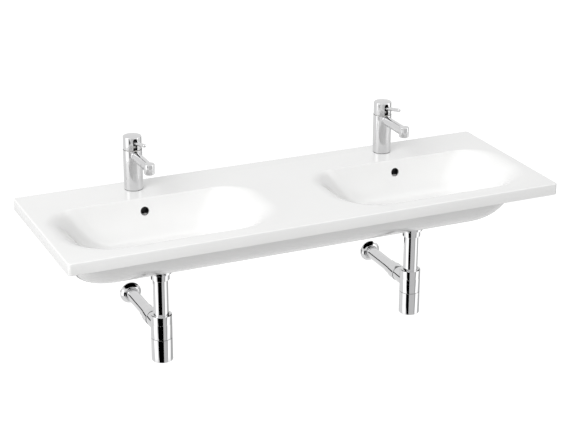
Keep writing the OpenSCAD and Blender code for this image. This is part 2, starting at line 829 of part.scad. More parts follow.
module waste_body() {
    color("silver") at_waste() {
        difference() {
            union() {
                translate([0, 0, flange_z]) cylinder(d = flange_d, h = flange_edge_t);
                translate([0, 0, tail_end]) cylinder(d = tail_d, h = flange_z - tail_end + over);
            }
            translate([0, 0, tail_end - over])
                cylinder(d = tail_bore, h = flange_top - tail_end + 2 * over);
            for (a = [0:90:270]) rotate(a)
                translate([tail_bore / 2 - over, -7, flange_z - 18])
                    cube([tail_wall + 2 * over, 14, 9]);
        }
        difference() {
            translate([0, 0, spider_z]) union() {
                cylinder(d = hub_spider_d, h = spider_h);
                for (a = [0, 90]) rotate(a) translate([-tail_bore / 2 - 0.5, -1.5, 0])
                    cube([tail_bore + 1, 3, spider_h - 4]);
            }
            translate([0, 0, spider_z - over])
                cylinder(d = plug_stem_d + 2 * run, h = spider_h + 2 * over);
        }
    }
}

module waste_lower_seals() {
    color("dimgray") on_both_sides() at_waste()
        tube(back_nut_d - 2, tail_d + 2 * fit, back_nut_z, -tub_depth);
}

module waste_back_nut() {
    color("silver") at_waste() difference() {
        tube(back_nut_d, tail_d + 2 * fit, back_nut_z - back_nut_t, back_nut_z);
        for (a = [0:45:315]) rotate(a)
            translate([back_nut_d / 2, 0, back_nut_z - back_nut_t - over])
                cylinder(d = 5, h = back_nut_t + 2 * over, $fn = 24);
    }
}

module waste_plug() {
    dome_h = 2.5;
    edge_t = 2;
    dome_r = (pow(plug_d / 2, 2) + pow(dome_h, 2)) / (2 * dome_h);
    color("silver") at_waste() {
        translate([0, 0, plug_z]) cylinder(d = plug_d, h = edge_t);
        translate([0, 0, plug_z + edge_t]) rotate_extrude() intersection() {
            translate([0, dome_h - dome_r]) circle(r = dome_r, $fn = 400);
            square([plug_d / 2, dome_h + over]);
        }
        translate([0, 0, spider_z - 16]) cylinder(d = plug_stem_d, h = plug_z - spider_z + 17);
    }
}

module waste_plug_seal() {
    color("dimgray") at_waste()
        tube(plug_d - 3, tail_bore - 2, plug_z - plug_seal_t, plug_z);
}

module waste_plug_guides() {
    color("gainsboro") on_both_sides() at_waste()
        tube(hub_spider_d, plug_stem_d + 2 * run, spider_z - 10, spider_z);
}

module trap_collar_nut() {
    color("silver") at_waste() difference() {
        translate([0, 0, collar_bottom]) cylinder(d = collar_d, h = collar_h);
        translate([0, 0, collar_bottom - over]) cylinder(d = tube_d + pass, h = collar_h);
        translate([0, 0, collar_bottom + collar_lip])
            cylinder(d = tail_d + 2 * fit, h = collar_h);
    }
}

module trap_inlet_seals() {
    color("dimgray") on_both_sides() at_waste()
        tube(tail_d - pass, tail_bore - 1, tube_top, tail_end);
}

module trap_inlet_tube() {
    tube_end = outlet_z_trap - pipe_d / 2 - 22;
    color("silver") at_waste() {
        tube(tube_d, tube_d - 2 * tube_wall, tube_end, tube_top);
        tube(tail_d - pass, tube_d - 2 * tube_wall, tube_top - tube_flange_t, tube_top);
    }
}

module trap_union_nut() {
    color("silver") at_waste() difference() {
        translate([0, 0, shoulder_z]) cylinder(d = bottle_d, h = union_h);
        translate([0, 0, shoulder_z - over]) cylinder(d = tube_d + pass, h = union_h + 2 * over);
        translate([0, 0, shoulder_z - over])
            cylinder(d = bottle_neck_d + 2 * fit, h = union_h - union_lip + over);
    }
}

module trap_union_seals() {
    top = -bottle_top - union_lip;
    color("dimgray") on_both_sides() at_waste() tube(bottle_neck_d - 1, tube_d + 2 * fit, top - 5, top);
}

module trap_bottle() {
    neck_end = -bottle_top - union_lip - 5;
    color("silver") at_waste() difference() {
        union() {
            translate([0, 0, cup_top]) cylinder(d = bottle_d, h = shoulder_z - cup_top);
            translate([0, 0, shoulder_z - over])
                cylinder(d = bottle_neck_d, h = neck_end - shoulder_z + over);
            translate([0, 0, outlet_z_trap]) rod_y(boss_d, 0, waste_back - boss_back);
            translate([0, 0, cup_top - cup_thread_h])
                cylinder(d = bottle_bore + 2 * tube_wall - 2 * fit, h = cup_thread_h + over);
        }
        translate([0, 0, cup_top - cup_thread_h - over])
            cylinder(d = bottle_bore - 1, h = neck_end - cup_top + cup_thread_h + 2 * over);
        translate([0, 0, shoulder_z])
            tube(bottle_d + 2 * pass, bottle_neck_d, 0, boss_d / 2 - (shoulder_z - outlet_z_trap) + over);
        translate([0, 0, outlet_z_trap]) rod_y(outlet_port_d, 0, waste_back - boss_back + over);
        translate([0, 0, outlet_z_trap])
            rod_y(pipe_d + 2 * fit, pipe_socket(), waste_back - boss_back + over);
    }
}

function pipe_socket() = waste_back - pipe_end - fit;

module trap_cup_seals() {
    color("dimgray") on_both_sides() at_waste()
        tube(bottle_d - 2, bottle_bore + 2 * tube_wall, cup_top - 1, cup_top);
}

module trap_cup() {
    cup_wall = tube_wall + 1.5;
    bore = bottle_d - 2 * cup_wall;
    color("silver") at_waste() difference() {
        translate([0, 0, bottle_bottom]) cylinder(d = bottle_d, h = cup_h - 1);
        translate([0, 0, bottle_bottom + cup_wall]) cylinder(d = bore, h = cup_h);
        translate([0, 0, cup_top - cup_thread_h - 1])
            cylinder(d = bore + 2 * tube_wall, h = cup_thread_h + 2);
    }
}

module at_outlet() {
    translate([0, 0, outlet_z_trap]) children();
}

module trap_outlet_seals() {
    color("dimgray") on_both_sides() at_outlet()
        translate([0, -boss_back, 0]) ring_y(boss_d - 2, pipe_d + 2 * fit, 0, 4);
}

module ring_y(d, bore, y0, y1) {
    difference() {
        rod_y(d, y0, y1);
        rod_y(bore, y0 - over, y1 + over);
    }
}

module trap_outlet_nut() {
    start = -boss_back - 10;
    step = -boss_back + outlet_nut_l - 10;
    color("silver") at_outlet() difference() {
        union() {
            rod_y(outlet_nut_d, start, step);
            rod_y(outlet_nut_slim_d, step - over, step + outlet_nut_slim_l);
        }
        rod_y(pipe_d + 2 * fit, start - over, step + outlet_nut_slim_l + over);
        rod_y(boss_d + 2 * fit, start - over, -boss_back + 4);
    }
}

module outlet_pipe() {
    color("silver") at_outlet() ring_y(pipe_d, pipe_d - 2 * tube_wall, -pipe_end, 0);
}

module wall_rose() {
    neck = pipe_d / 2 + 3;
    rim = rose_d / 2;
    color("silver") at_outlet() rotate([90, 0, 0]) rotate_extrude() difference() {
        polygon([
            [0, 0], [rim, 0], [rim, 3], [rim - 2, 4.5], [neck + 3, rose_l - 2],
            [neck, rose_l], [0, rose_l]
        ]);
        translate([-over, -over]) square([pipe_d / 2 + run + over, rose_l + 2 * over]);
        polygon([
            [0, -over], [rim - 2, -over], [rim - 2, 1.5], [neck + 1, rose_l - 4.5], [0, rose_l - 4.5]
        ]);
    }
}

module shared_piece(name) {
    if (name == "basin") basin();
    if (name == "tap_base_seals") tap_base_seals();
    if (name == "tap_cartridge_nuts") tap_cartridge_nuts();
    if (name == "tap_slide_rings") tap_slide_rings();
    if (name == "tap_studs") tap_studs();
    if (name == "tap_clamp_pads") tap_clamp_pads();
    if (name == "tap_clamp_washers") tap_clamp_washers();
    if (name == "tap_stud_nuts") tap_stud_nuts();
    if (name == "waste_top_seals") waste_top_seals();
    if (name == "waste_lower_seals") waste_lower_seals();
    if (name == "waste_plug_guides") waste_plug_guides();
    if (name == "trap_inlet_seals") trap_inlet_seals();
    if (name == "trap_union_seals") trap_union_seals();
    if (name == "trap_cup_seals") trap_cup_seals();
    if (name == "trap_outlet_seals") trap_outlet_seals();
}

module side_piece(name) {
    if (name == "tap_body") tap_body();
    if (name == "tap_cartridge") tap_cartridge();
    if (name == "tap_turret") tap_turret();
    if (name == "tap_pivot_pin") tap_pivot_pin();
    if (name == "tap_handle") tap_handle();
    if (name == "tap_lever") tap_lever();
    if (name == "tap_lever_stem") tap_lever_stem();
    if (name == "tap_aerator") tap_aerator();
    if (name == "waste_body") waste_body();
    if (name == "waste_back_nut") waste_back_nut();
    if (name == "waste_plug") waste_plug();
    if (name == "waste_plug_seal") waste_plug_seal();
    if (name == "trap_collar_nut") trap_collar_nut();
    if (name == "trap_inlet_tube") trap_inlet_tube();
    if (name == "trap_union_nut") trap_union_nut();
    if (name == "trap_bottle") trap_bottle();
    if (name == "trap_cup") trap_cup();
    if (name == "trap_outlet_nut") trap_outlet_nut();
    if (name == "outlet_pipe") outlet_pipe();
    if (name == "wall_rose") wall_rose();
}

for (name = SHARED) {
    shared_piece(name);
}
for (side = SIDES) {
    for (name = PER_SIDE) {
        on_side(side) side_piece(name);
    }
}
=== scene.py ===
"""Looks for a wall-hung double washbasin with two pin-lever taps, two wastes and two bottle traps."""
import json
import math

import bmesh
import bpy
import numpy as np
from bpy.props import FloatProperty, FloatVectorProperty, IntProperty, PointerProperty
from mathutils import Matrix, Vector

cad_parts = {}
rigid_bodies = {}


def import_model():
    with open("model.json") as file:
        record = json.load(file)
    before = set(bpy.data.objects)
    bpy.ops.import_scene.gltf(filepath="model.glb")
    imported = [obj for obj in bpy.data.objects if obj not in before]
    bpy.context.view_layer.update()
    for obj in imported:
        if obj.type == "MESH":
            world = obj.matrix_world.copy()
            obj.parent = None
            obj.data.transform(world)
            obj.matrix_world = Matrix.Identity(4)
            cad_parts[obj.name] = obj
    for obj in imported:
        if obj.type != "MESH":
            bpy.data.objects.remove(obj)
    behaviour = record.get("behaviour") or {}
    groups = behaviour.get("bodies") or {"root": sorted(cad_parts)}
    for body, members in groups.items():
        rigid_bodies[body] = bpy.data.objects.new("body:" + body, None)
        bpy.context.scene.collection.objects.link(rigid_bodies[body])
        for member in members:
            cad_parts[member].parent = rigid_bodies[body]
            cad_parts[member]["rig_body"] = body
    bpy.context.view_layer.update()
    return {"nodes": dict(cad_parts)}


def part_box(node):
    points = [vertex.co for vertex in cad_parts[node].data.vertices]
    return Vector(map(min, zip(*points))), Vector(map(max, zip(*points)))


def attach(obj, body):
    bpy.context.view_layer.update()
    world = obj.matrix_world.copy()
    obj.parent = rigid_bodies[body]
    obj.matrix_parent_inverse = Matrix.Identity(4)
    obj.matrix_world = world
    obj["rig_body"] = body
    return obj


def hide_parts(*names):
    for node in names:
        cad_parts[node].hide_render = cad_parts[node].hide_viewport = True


bl_info = {
    "name": "Double Washbasin",
    "version": (1, 0, 0),
    "blender": (4, 5, 0),
    "location": "3D View > Sidebar > Washbasin",
    "description": "Builds the glazed basin, the taps, the wastes, the traps and the studio stage",
    "category": "Object",
}

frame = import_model()
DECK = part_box("basin")[1].z
SIDE_X = {side: sum(c.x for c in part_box(f"{side}_tap_handle")) / 2 for side in ("left", "right")}
SPAN = SIDE_X["right"] - SIDE_X["left"]
TAP_Y = sum(c.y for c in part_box("left_tap_handle")) / 2
WASTE_Y = sum(c.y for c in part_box("left_trap_cup")) / 2
OUTLET_Z = sum(c.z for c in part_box("left_outlet_pipe")) / 2
TAP_AXIS = (SIDE_X["left"], TAP_Y, DECK)
WASTE_AXIS = (SIDE_X["left"], WASTE_Y, DECK)
MM = 0.001
OVERLAP = 0.001  # how far a cutter reaches past what it cuts, in metres
BLACK, WHITE = (0, 0, 0, 1), (1, 1, 1, 1)
MATERIALS = {}


class Value:
    """A node's socket that can be used in sums, and adds its own Math nodes."""

    def __init__(self, sheet, socket):
        self.sheet = sheet
        self.socket = socket

    def _math(self, operation, *values):
        return self.sheet.add("ShaderNodeMath", {"operation": operation}, *values)

    def __add__(self, other):
        return self._math("ADD", self, other)

    def __sub__(self, other):
        return self._math("SUBTRACT", self, other)

    def __rsub__(self, other):
        return self._math("SUBTRACT", other, self)

    def __mul__(self, other):
        return self._math("MULTIPLY", self, other)

    __radd__ = __add__
    __rmul__ = __mul__

    def step(self, low, high):
        """0 below low, 1 above high and smooth in between."""
        settings = {"interpolation_type": "SMOOTHSTEP"}
        return self.sheet.add("ShaderNodeMapRange", settings, self, low, high, 0.0, 1.0)

    def within(self, low, high, soft):
        """1 between low and high and 0 outside, with smooth edges that reach as far as soft."""
        return self.step(low - soft, low + soft) * (1.0 - self.step(high - soft, high + soft))

    def absolute(self):
        return self._math("ABSOLUTE", self)

    def root(self):
        return self._math("SQRT", self)

    def angle_from(self, other):
        return self._math("ARCTAN2", self, other)


class Sheet:
    """One node tree with a single method that adds any node."""

    def __init__(self, tree):
        self.tree = tree
        tree.nodes.clear()

    def add(self, kind, settings=None, *values, output=0, **named):
        """Adds a node. Its sockets are fed in order, or by name with _ for a space."""
        node = self.tree.nodes.new(kind)
        for key, setting in (settings or {}).items():
            setattr(node, key, setting)
        sockets = [s for s in node.inputs if s.enabled]
        by_name = ((node.inputs[key.replace("_", " ")], value) for key, value in named.items())
        for socket, value in [*zip(sockets, values), *by_name]:
            self.feed(socket, value)
        return Value(self, node.outputs[output]) if node.outputs else node

    def feed(self, socket, value):
        if isinstance(value, Value):
            self.tree.links.new(value.socket, socket)
        else:
            socket.default_value = value

    def point(self):
        """A point of the surface, in metres, in the object's own space."""
        return self.add("ShaderNodeTexCoord", output=3)

    def split(self, vector):
        """The three numbers of a vector."""
        return [Value(self, s) for s in self.add("ShaderNodeSeparateXYZ", None, vector).socket.node.outputs]

    def noise(self, point, scale, detail=2.0):
        return self.add("ShaderNodeTexNoise", None, Vector=point, Scale=scale, Detail=detail)

    def mix(self, share, first, second):
        """Mixes two colours."""
        node = self.tree.nodes.new("ShaderNodeMix")
        node.data_type = "RGBA"
        for index, value in ((0, share), (6, first), (7, second)):
            self.feed(node.inputs[index], value)
        return Value(self, node.outputs[2])

    def bump(self, height, strength, distance):
        return self.add("ShaderNodeBump", None, Height=height, Strength=strength, Distance=distance)

    def principled(self, **named):
        return self.add("ShaderNodeBsdfPrincipled", None, **named)


def new_material(name, build):
    """A material whose sheet is filled by a function that gives back its shader."""
    material = bpy.data.materials.new(name)
    material.use_nodes = True
    sheet = Sheet(material.node_tree)
    sheet.add("ShaderNodeOutputMaterial", None, Surface=build(sheet))
    return material


def opaque(colour, share=1.0):
    return (*(channel * share for channel in colour), 1.0)


def glazed_white(sheet):
    """White glaze over fireclay: slightly wavy, bare on the wall face, dark inside the overflows."""
    look, size = bpy.context.scene.washbasin_look, bpy.context.scene.washbasin_size
    point = sheet.point()
    x, y, z = sheet.split(point)
    cloud = sheet.noise(point, 5.0)
    ripple = sheet.noise(point, 38.0, 1.0)
    grain = sheet.noise(point, 1400.0, 3.0)
    bare = y.step(-0.0012, -0.0004)
    across, drop = x.absolute() - SPAN / 2, z - (DECK - size.overflow_drop)
    from_axis = (across * across + drop * drop).root()
    mouth, back = size.overflow_radius, -size.bowl_back
    # painted shade: the overflow openings and the start of their ducts are coloured near black, standing in
    # for the shade inside them
    deep = y.step(back - 0.009, back - 0.001) * (1.0 - y.step(back + 0.012, back + 0.013))
    deep = deep * (1.0 - from_axis.step(mouth + 0.0003, mouth + 0.0009))
    colour = sheet.mix(cloud.step(0.35, 0.65), opaque(look.glaze_colour, 0.985), opaque(look.glaze_colour))
    clay = sheet.mix(grain.step(0.35, 0.7), (0.66, 0.62, 0.55, 1), (0.78, 0.75, 0.69, 1))
    colour = sheet.mix(bare, colour, clay)
    return sheet.principled(
        Base_Color=sheet.mix(deep, colour, (0.006, 0.006, 0.006, 1)), IOR=1.5,
        Roughness=look.glaze_roughness + cloud * 0.05 + bare * 0.5 + deep * 0.3,
        Normal=sheet.bump(ripple * 0.6 + bare * grain * 0.4, 0.06, 0.0012))


def chrome(sheet):
    """Bright chrome plate with the faint haze that polishing leaves, dark inside the handles' joints."""
    look, fit = bpy.context.scene.washbasin_look, bpy.context.scene.washbasin_fittings
    point = sheet.point()
    x, y, z = sheet.split(point)
    haze = sheet.noise(point, 60.0, 3.0)
    wave = sheet.noise(point, 22.0, 1.0)
    across, along, height = x.absolute() - SPAN / 2, y - TAP_Y, z - DECK
    out = (across * across + along * along).root()
    foot, top = fit.tap_top * MM, fit.handle_top * MM
    rim, shell = fit.tap_radius * MM, fit.handle_radius * MM
    # painted shade: the gap between tap body and handle and the handles' inner faces are coloured near
    # black and rougher, standing in for the shade there
    seam_shade = height.within(foot - 0.0002, fit.handle_foot * MM + 0.0004, 0.0001)
    seam_shade = seam_shade * (1.0 - out.step(rim + 0.001, rim + 0.002))
    inside = height.within(foot + 0.00025, top - 0.00225, 0.00025)
    inside = inside * (1.0 - out.step(shell - 0.00205, shell - 0.00165))
    painted_shade = (seam_shade + inside).step(0.2, 0.8)
    colour = sheet.mix(haze.step(0.4, 0.7), opaque(look.chrome_colour), opaque(look.chrome_colour, 0.97))
    return sheet.principled(
        Base_Color=sheet.mix(painted_shade, colour, (0.02, 0.02, 0.02, 1)), Metallic=1.0,
        Roughness=look.chrome_roughness + haze * 0.025 + painted_shade * 0.4,
        Normal=sheet.bump(wave, 0.02, 0.001))


def brass(sheet):
    """Bare machined brass with faint stains."""
    point = sheet.point()
    tool = sheet.noise(point, 900.0)
    stain = sheet.noise(point, 120.0, 3.0)
    colour = sheet.mix(stain.step(0.4, 0.65), (0.40, 0.31, 0.16, 1), (0.28, 0.21, 0.11, 1))
    return sheet.principled(Base_Color=colour, Metallic=1.0, Roughness=0.32 + stain * 0.2,
                            Normal=sheet.bump(tool, 0.15, 0.0001))


def brushed_steel(sheet):
    """Stainless steel with upright draw lines."""
    drawn = sheet.add("ShaderNodeMapping", None, Vector=sheet.point(), Scale=(1.0, 1.0, 25.0))
    brush = sheet.noise(drawn, 350.0, 3.0)
    colour = sheet.mix(brush.step(0.3, 0.7), (0.50, 0.50, 0.49, 1), (0.60, 0.60, 0.59, 1))
    return sheet.principled(Base_Color=colour, Metallic=1.0, Roughness=0.27 + brush * 0.15,
                            Normal=sheet.bump(brush, 0.12, 0.00008))


def rubber(sheet):
    """Black rubber with a little dust."""
    point = sheet.point()
    grain = sheet.noise(point, 1600.0, 3.0)
    dust = sheet.noise(point, 90.0)
    colour = sheet.mix(dust.step(0.45, 0.75), (0.022, 0.022, 0.023, 1), (0.05, 0.05, 0.05, 1))
    return sheet.principled(Base_Color=colour, Roughness=0.6 + grain * 0.25,
                            Normal=sheet.bump(grain, 0.25, 0.0001))


def moulded_plastic(sheet):
    """Ivory plastic of the cartridges and guides."""
    point = sheet.point()
    grain = sheet.noise(point, 1100.0)
    cloud = sheet.noise(point, 70.0)
    colour = sheet.mix(cloud.step(0.4, 0.7), (0.78, 0.77, 0.73, 1), (0.70, 0.69, 0.65, 1))
    return sheet.principled(Base_Color=colour, Roughness=0.38 + grain * 0.15,
                            Normal=sheet.bump(grain, 0.12, 0.00008))


FINISHES = {
    "glazed_white": glazed_white, "chrome": chrome, "brass": brass, "steel": brushed_steel,
    "rubber": rubber, "cartridge_plastic": moulded_plastic,
}


def finish_of(slot):
    """The material of a finish, made once and then shared."""
    if slot not in MATERIALS:
        MATERIALS[slot] = new_material(FINISHES[slot].__name__, FINISHES[slot])
    return MATERIALS[slot]


def put(name, data):
    """A new object in the scene."""
    thing = bpy.data.objects.new(name, data)
    bpy.context.scene.collection.objects.link(thing)
    return thing


def solid(name, points, faces):
    """A closed mesh in its own object, with the faces outwards."""
    mesh = bpy.data.meshes.new(name)
    mesh.from_pydata([tuple(p) for p in points], [], faces)
    work = bmesh.new()
    work.from_mesh(mesh)
    bmesh.ops.remove_doubles(work, verts=work.verts, dist=1e-6)
    bmesh.ops.recalc_face_normals(work, faces=work.faces)
    work.to_mesh(mesh)
    work.free()
    return put(name, mesh)


def loft(name, rings):
    """A closed skin over rings that all have the same number of points."""
    count = len(rings[0])
    faces = [
        (i * count + k, i * count + (k + 1) % count, (i + 1) * count + (k + 1) % count, (i + 1) * count + k)
        for i in range(len(rings) - 1) for k in range(count)
    ]
    last = (len(rings) - 1) * count
    faces.append(tuple(range(count)))
    faces.append(tuple(last + k for k in reversed(range(count))))
    return solid(name, np.concatenate(rings), faces)


def rounded(profile, segments=5):
    """Rounds the corners of a closed profile. Each corner is (radius, height, rounding)."""
    result = []
    count = len(profile)
    for i, (r, z, soft) in enumerate(profile):
        here = np.array([r, z], float)
        before = np.array(profile[i - 1][:2], float) - here
        after = np.array(profile[(i + 1) % count][:2], float) - here
        room = min(np.linalg.norm(before), np.linalg.norm(after))
        before, after = before / np.linalg.norm(before), after / np.linalg.norm(after)
        corner = math.acos(max(-1.0, min(1.0, float(before @ after))))
        if soft <= 0 or corner > math.radians(175):
            result.append(here)
            continue
        reach = min(soft / math.tan(corner / 2), room * 0.98)
        soft = reach * math.tan(corner / 2)
        middle = here + (before + after) / np.linalg.norm(before + after) * soft / math.sin(corner / 2)
        first, last = here + before * reach - middle, here + after * reach - middle
        bend = math.pi - corner
        steps = max(2, round(segments * bend / (math.pi / 2)))
        for k in range(steps + 1):
            share = k / steps
            way = first * math.sin((1 - share) * bend) + last * math.sin(share * bend)
            result.append(middle + way / math.sin(bend) if corner > 1e-3 else here)
    return result


def turned(name, profile, centre, along="Z", rounding=0.35):
    """Turns a closed profile, in millimetres, round an upright axis or one along +Y."""
    segments = bpy.context.scene.washbasin_look.segments
    corners = [(c[0], c[1], c[2] if len(c) > 2 else (rounding if c[0] > 0 else 0)) for c in profile]
    outline = rounded(corners)
    rings = []
    for k in range(segments):
        angle = 2 * math.pi * k / segments
        for r, z in outline:
            x, y = r * math.cos(angle), r * math.sin(angle)
            rings.append((x, y, z) if along == "Z" else (x, z, y))
    count = len(outline)
    faces = [
        (a * count + i, b * count + i, b * count + (i + 1) % count, a * count + (i + 1) % count)
        for a, b in ((k, (k + 1) % segments) for k in range(segments)) for i in range(count)
    ]
    thing = solid(name, np.array(rings) * MM + np.array(centre), faces)
    work = bmesh.new()
    work.from_mesh(thing.data)
    bmesh.ops.dissolve_degenerate(work, dist=1e-7, edges=work.edges)
    work.to_mesh(thing.data)
    work.free()
    return thing


def rod(radius, low, high, centre, along="Z"):
    """A plain cylinder, used for cutting and joining."""
    return turned("cutter", [(radius, low, 0), (radius, high, 0), (0, high, 0), (0, low, 0)], centre, along)


def prism(outline, low, high, along):
    """Extrudes an outline along X, where it is (y, z), or along Y, where it is (x, z)."""
    def ring(level):
        return np.array([(level, p, q) if along == "X" else (p, level, q) for p, q in outline])
    return loft("cutter", [ring(low), ring(high)])


def block(x, y, z):
    """A plain block between two values on each axis, used for cutting."""
    return prism([(y[0], z[0]), (y[1], z[0]), (y[1], z[1]), (y[0], z[1])], x[0], x[1], "X")


def block_at(centre, half_x, half_y, low, high):
    """A block round an upright axis, with its sizes and levels in millimetres."""
    x, y, z = centre
    return block((x - half_x * MM, x + half_x * MM), (y - half_y * MM, y + half_y * MM),
                 (z + low * MM, z + high * MM))


def duct(radius, start, end):
    """A straight round duct between two points of one upright plane, each (x, y, z)."""
    start, end = Vector(start), Vector(end)
    way = end - start
    tool = rod(radius / MM, 0, way.length / MM, (0, 0, 0))
    tool.data.transform(Matrix.Translation(start) @ way.to_track_quat("Z", "Y").to_matrix().to_4x4())
    return tool


def settle(thing):
    """Applies what its modifiers make."""
    graph = bpy.context.evaluated_depsgraph_get()
    mesh = bpy.data.meshes.new_from_object(thing.evaluated_get(graph))
    thing.modifiers.clear()
    thing.data = mesh
    return thing


def combine(thing, other, operation):
    """Joins, cuts or intersects two solids, and removes the second."""
    modifier = thing.modifiers.new("combine", "BOOLEAN")
    modifier.operation = operation
    modifier.solver = "MANIFOLD"
    modifier.object = other
    settle(thing)
    bpy.data.objects.remove(other)
    return thing


def cut(thing, *others):
    for other in others:
        combine(thing, other, "DIFFERENCE")
    return thing


def join(thing, *others):
    for other in others:
        combine(thing, other, "UNION")
    return thing


def shift(thing, offset):
    thing.data.transform(Matrix.Translation(offset))
    return thing


def dress(thing, node, slot, sharp=30):
    """Names a finished piece, gives it its finish, and lets it stand for its CAD node."""
    thing.name = f"fine_{node}"
    thing.data.name = thing.name
    thing.data.shade_smooth()
    thing.data.set_sharp_from_angle(angle=math.radians(sharp))
    thing.data.materials.clear()
    thing.data.materials.append(finish_of(slot))
    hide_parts(node)
    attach(thing, frame["nodes"][node]["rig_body"])


def dress_both(thing, name, slot):
    """Dresses a piece of the left side and its copy on the right."""
    twin = put("twin", thing.data.copy())
    dress(thing, f"left_{name}", slot)
    dress(shift(twin, (SPAN, 0, 0)), f"right_{name}", slot)


def bezier(curve, t):
    a, b, c, d = curve
    return a * (1 - t) ** 3 + 3 * b * (1 - t) ** 2 * t + 3 * c * (1 - t) * t ** 2 + d * t ** 3


def trace(start, way, curve, level, shares):
    """Points of a curved wall in section, from where it starts and the way that it draws in."""
    return [(start + way * bezier(curve, t), bezier(level, t)) for t in shares]


def bowl_curves(size):
    """How far a bowl's side, back and front draw in from the deck to the floor, and how deep they are."""
    side = (0, size.side_brow, size.side_belly, size.side_run)
    back = (0, size.back_brow, size.back_belly, size.back_run)
    front = (0, size.front_brow, size.front_belly, size.front_run)
    return side, back, front, (0, 0, -size.bowl_depth, -size.bowl_depth)


def tub_curves(size):
    """How far the underbody's front and ends draw in from the slab to the foot, and how deep they are."""
    front = [size.tub_setback + run for run in (0, size.tub_brow, size.tub_belly, size.tub_run)]
    end = (0, size.tub_end_belly, size.tub_end_belly, size.tub_end_run)
    top, foot = -size.slab_thickness, -size.tub_depth
    return front, end, (top, top - size.tub_cheek, foot + size.tub_heel, foot)


def rounded_ring(x, y, radii, z, steps):
    """A rounded rectangle from two back and two front arcs, anticlockwise from above, at one level."""
    points = []
    for quarter in range(4):
        r = radii[quarter // 2]
        cx = x[1] - r if quarter in (0, 3) else x[0] + r
        cy = y[1] - r if quarter < 2 else y[0] + r
        for k in range(steps + 1):
            angle = math.pi / 2 * (quarter + k / steps)
            points.append((cx + r * math.cos(angle), cy + r * math.sin(angle), z))
    return np.array(points)


def soften(rings, width):
    """Rounds the ridges that run round a loft: each point becomes the mean of its line over a width."""
    columns = np.stack(rings)
    result = columns.copy()
    for k in range(columns.shape[1]):
        line = columns[:, k]
        length = np.concatenate([[0], np.cumsum(np.linalg.norm(np.diff(line, axis=0), axis=1))])
        strips = (line[1:] + line[:-1]) / 2 * np.diff(length)[:, None]
        area = np.concatenate([np.zeros((1, 3)), np.cumsum(strips, axis=0)])
        reach = np.minimum(np.minimum(length, length[-1] - length), width / 2)
        low, high = length - reach, length + reach

        def swept(at):
            i = np.clip(np.searchsorted(length, at, side="right") - 1, 0, len(length) - 2)
            part = (at - length[i])[:, None]
            span = np.maximum(length[i + 1] - length[i], 1e-12)[:, None]
            slope = (line[i + 1] - line[i]) / span
            return area[i] + line[i] * part + slope * part ** 2 / 2

        wide = (reach > 1e-9)[:, None]
        mean = (swept(high) - swept(low)) / np.where(wide, (high - low)[:, None], 1)
        result[:, k] = np.where(wide, mean, line)
    return list(result)


def bowl_cutter(size, centre_x):
    """Everything that is empty in a bowl: from above the deck down through the waste hole."""
    steps = size.corner_steps
    lip, across, down, shelf = 8, 24, 6, 4  # rings in each stretch
    radii = size.bowl_back_corner, size.bowl_corner
    side, back, front, level = bowl_curves(size)

    def ring(t, out=0.0):
        half = size.bowl_width / 2 - bezier(side, t)
        y0 = -size.bowl_back - size.bowl_length + bezier(front, t)
        y1 = -size.bowl_back - bezier(back, t)
        r = [corner + (size.bowl_floor_corner - corner) * t + out for corner in radii]
        return rounded_ring((-half - out, half + out), (y0 - out, y1 + out), r, bezier(level, t), steps)

    angles = np.array([
        math.pi / 2 * (q + (k + 0.5) / (steps + 1)) for q in range(4) for k in range(steps + 1)
    ])

    def round_ring(radius, z):
        x, y = radius * np.cos(angles), -size.waste_back + radius * np.sin(angles)
        return np.stack([x, y, np.full(len(angles), z)], axis=1)

    wall = [ring((k / size.wall_steps) ** 1.5) for k in range(size.wall_steps + 1)]
    floor_z, seat_r, hole_r = -size.bowl_depth - size.floor_fall, size.seat_radius, size.waste_radius
    seat_z = floor_z - size.seat_depth
    foot = round_ring(seat_r + 0.001, floor_z)
    upper = [ring(0, out) for out in np.linspace(size.edge_softness, 0, lip + 1)[:-1]] + wall
    lower = wall[-lip:]
    lower += [wall[-1] + (foot - wall[-1]) * k / across for k in range(1, across + 1)]
    lower += [round_ring(seat_r, floor_z - k * size.seat_depth / down) for k in range(1, down + 1)]
    lower += [round_ring(seat_r - (seat_r - hole_r) * k / shelf, seat_z) for k in range(1, shelf + 1)]
    lower += [round_ring(hole_r, seat_z - depth) for depth in (0.004, 0.008, 0.012)]
    soft = soften(upper, size.edge_softness)
    rest = soften(lower, size.seat_softness)[lip:]
    above = [soft[0] + np.array([0, 0, 0.004])]
    below = [round_ring(hole_r, -size.tub_depth - 0.02)]
    return shift(loft("cutter", above + soft + rest + below), (centre_x, 0, DECK))


def slab(size):
    """The thin slab with soft top edges."""
    top, foot = size.slab_edge, size.slab_foot_edge
    half, depth, corner = size.slab_width / 2, size.slab_depth, size.slab_corner
    marks = [(foot * (1 - math.sin(a)), -size.slab_thickness + foot * (1 - math.cos(a)))
             for a in np.linspace(0, math.pi / 2, 4)]
    marks += [(top * (1 - math.cos(a)), top * (math.sin(a) - 1)) for a in np.linspace(0, math.pi / 2, 9)]
    rings = [
        rounded_ring((-half + inset, half - inset), (-depth + inset, -inset), [corner - inset] * 2, z,
                     size.corner_steps // 2)
        for inset, z in marks
    ]
    return shift(loft("basin", rings), (0, 0, DECK))


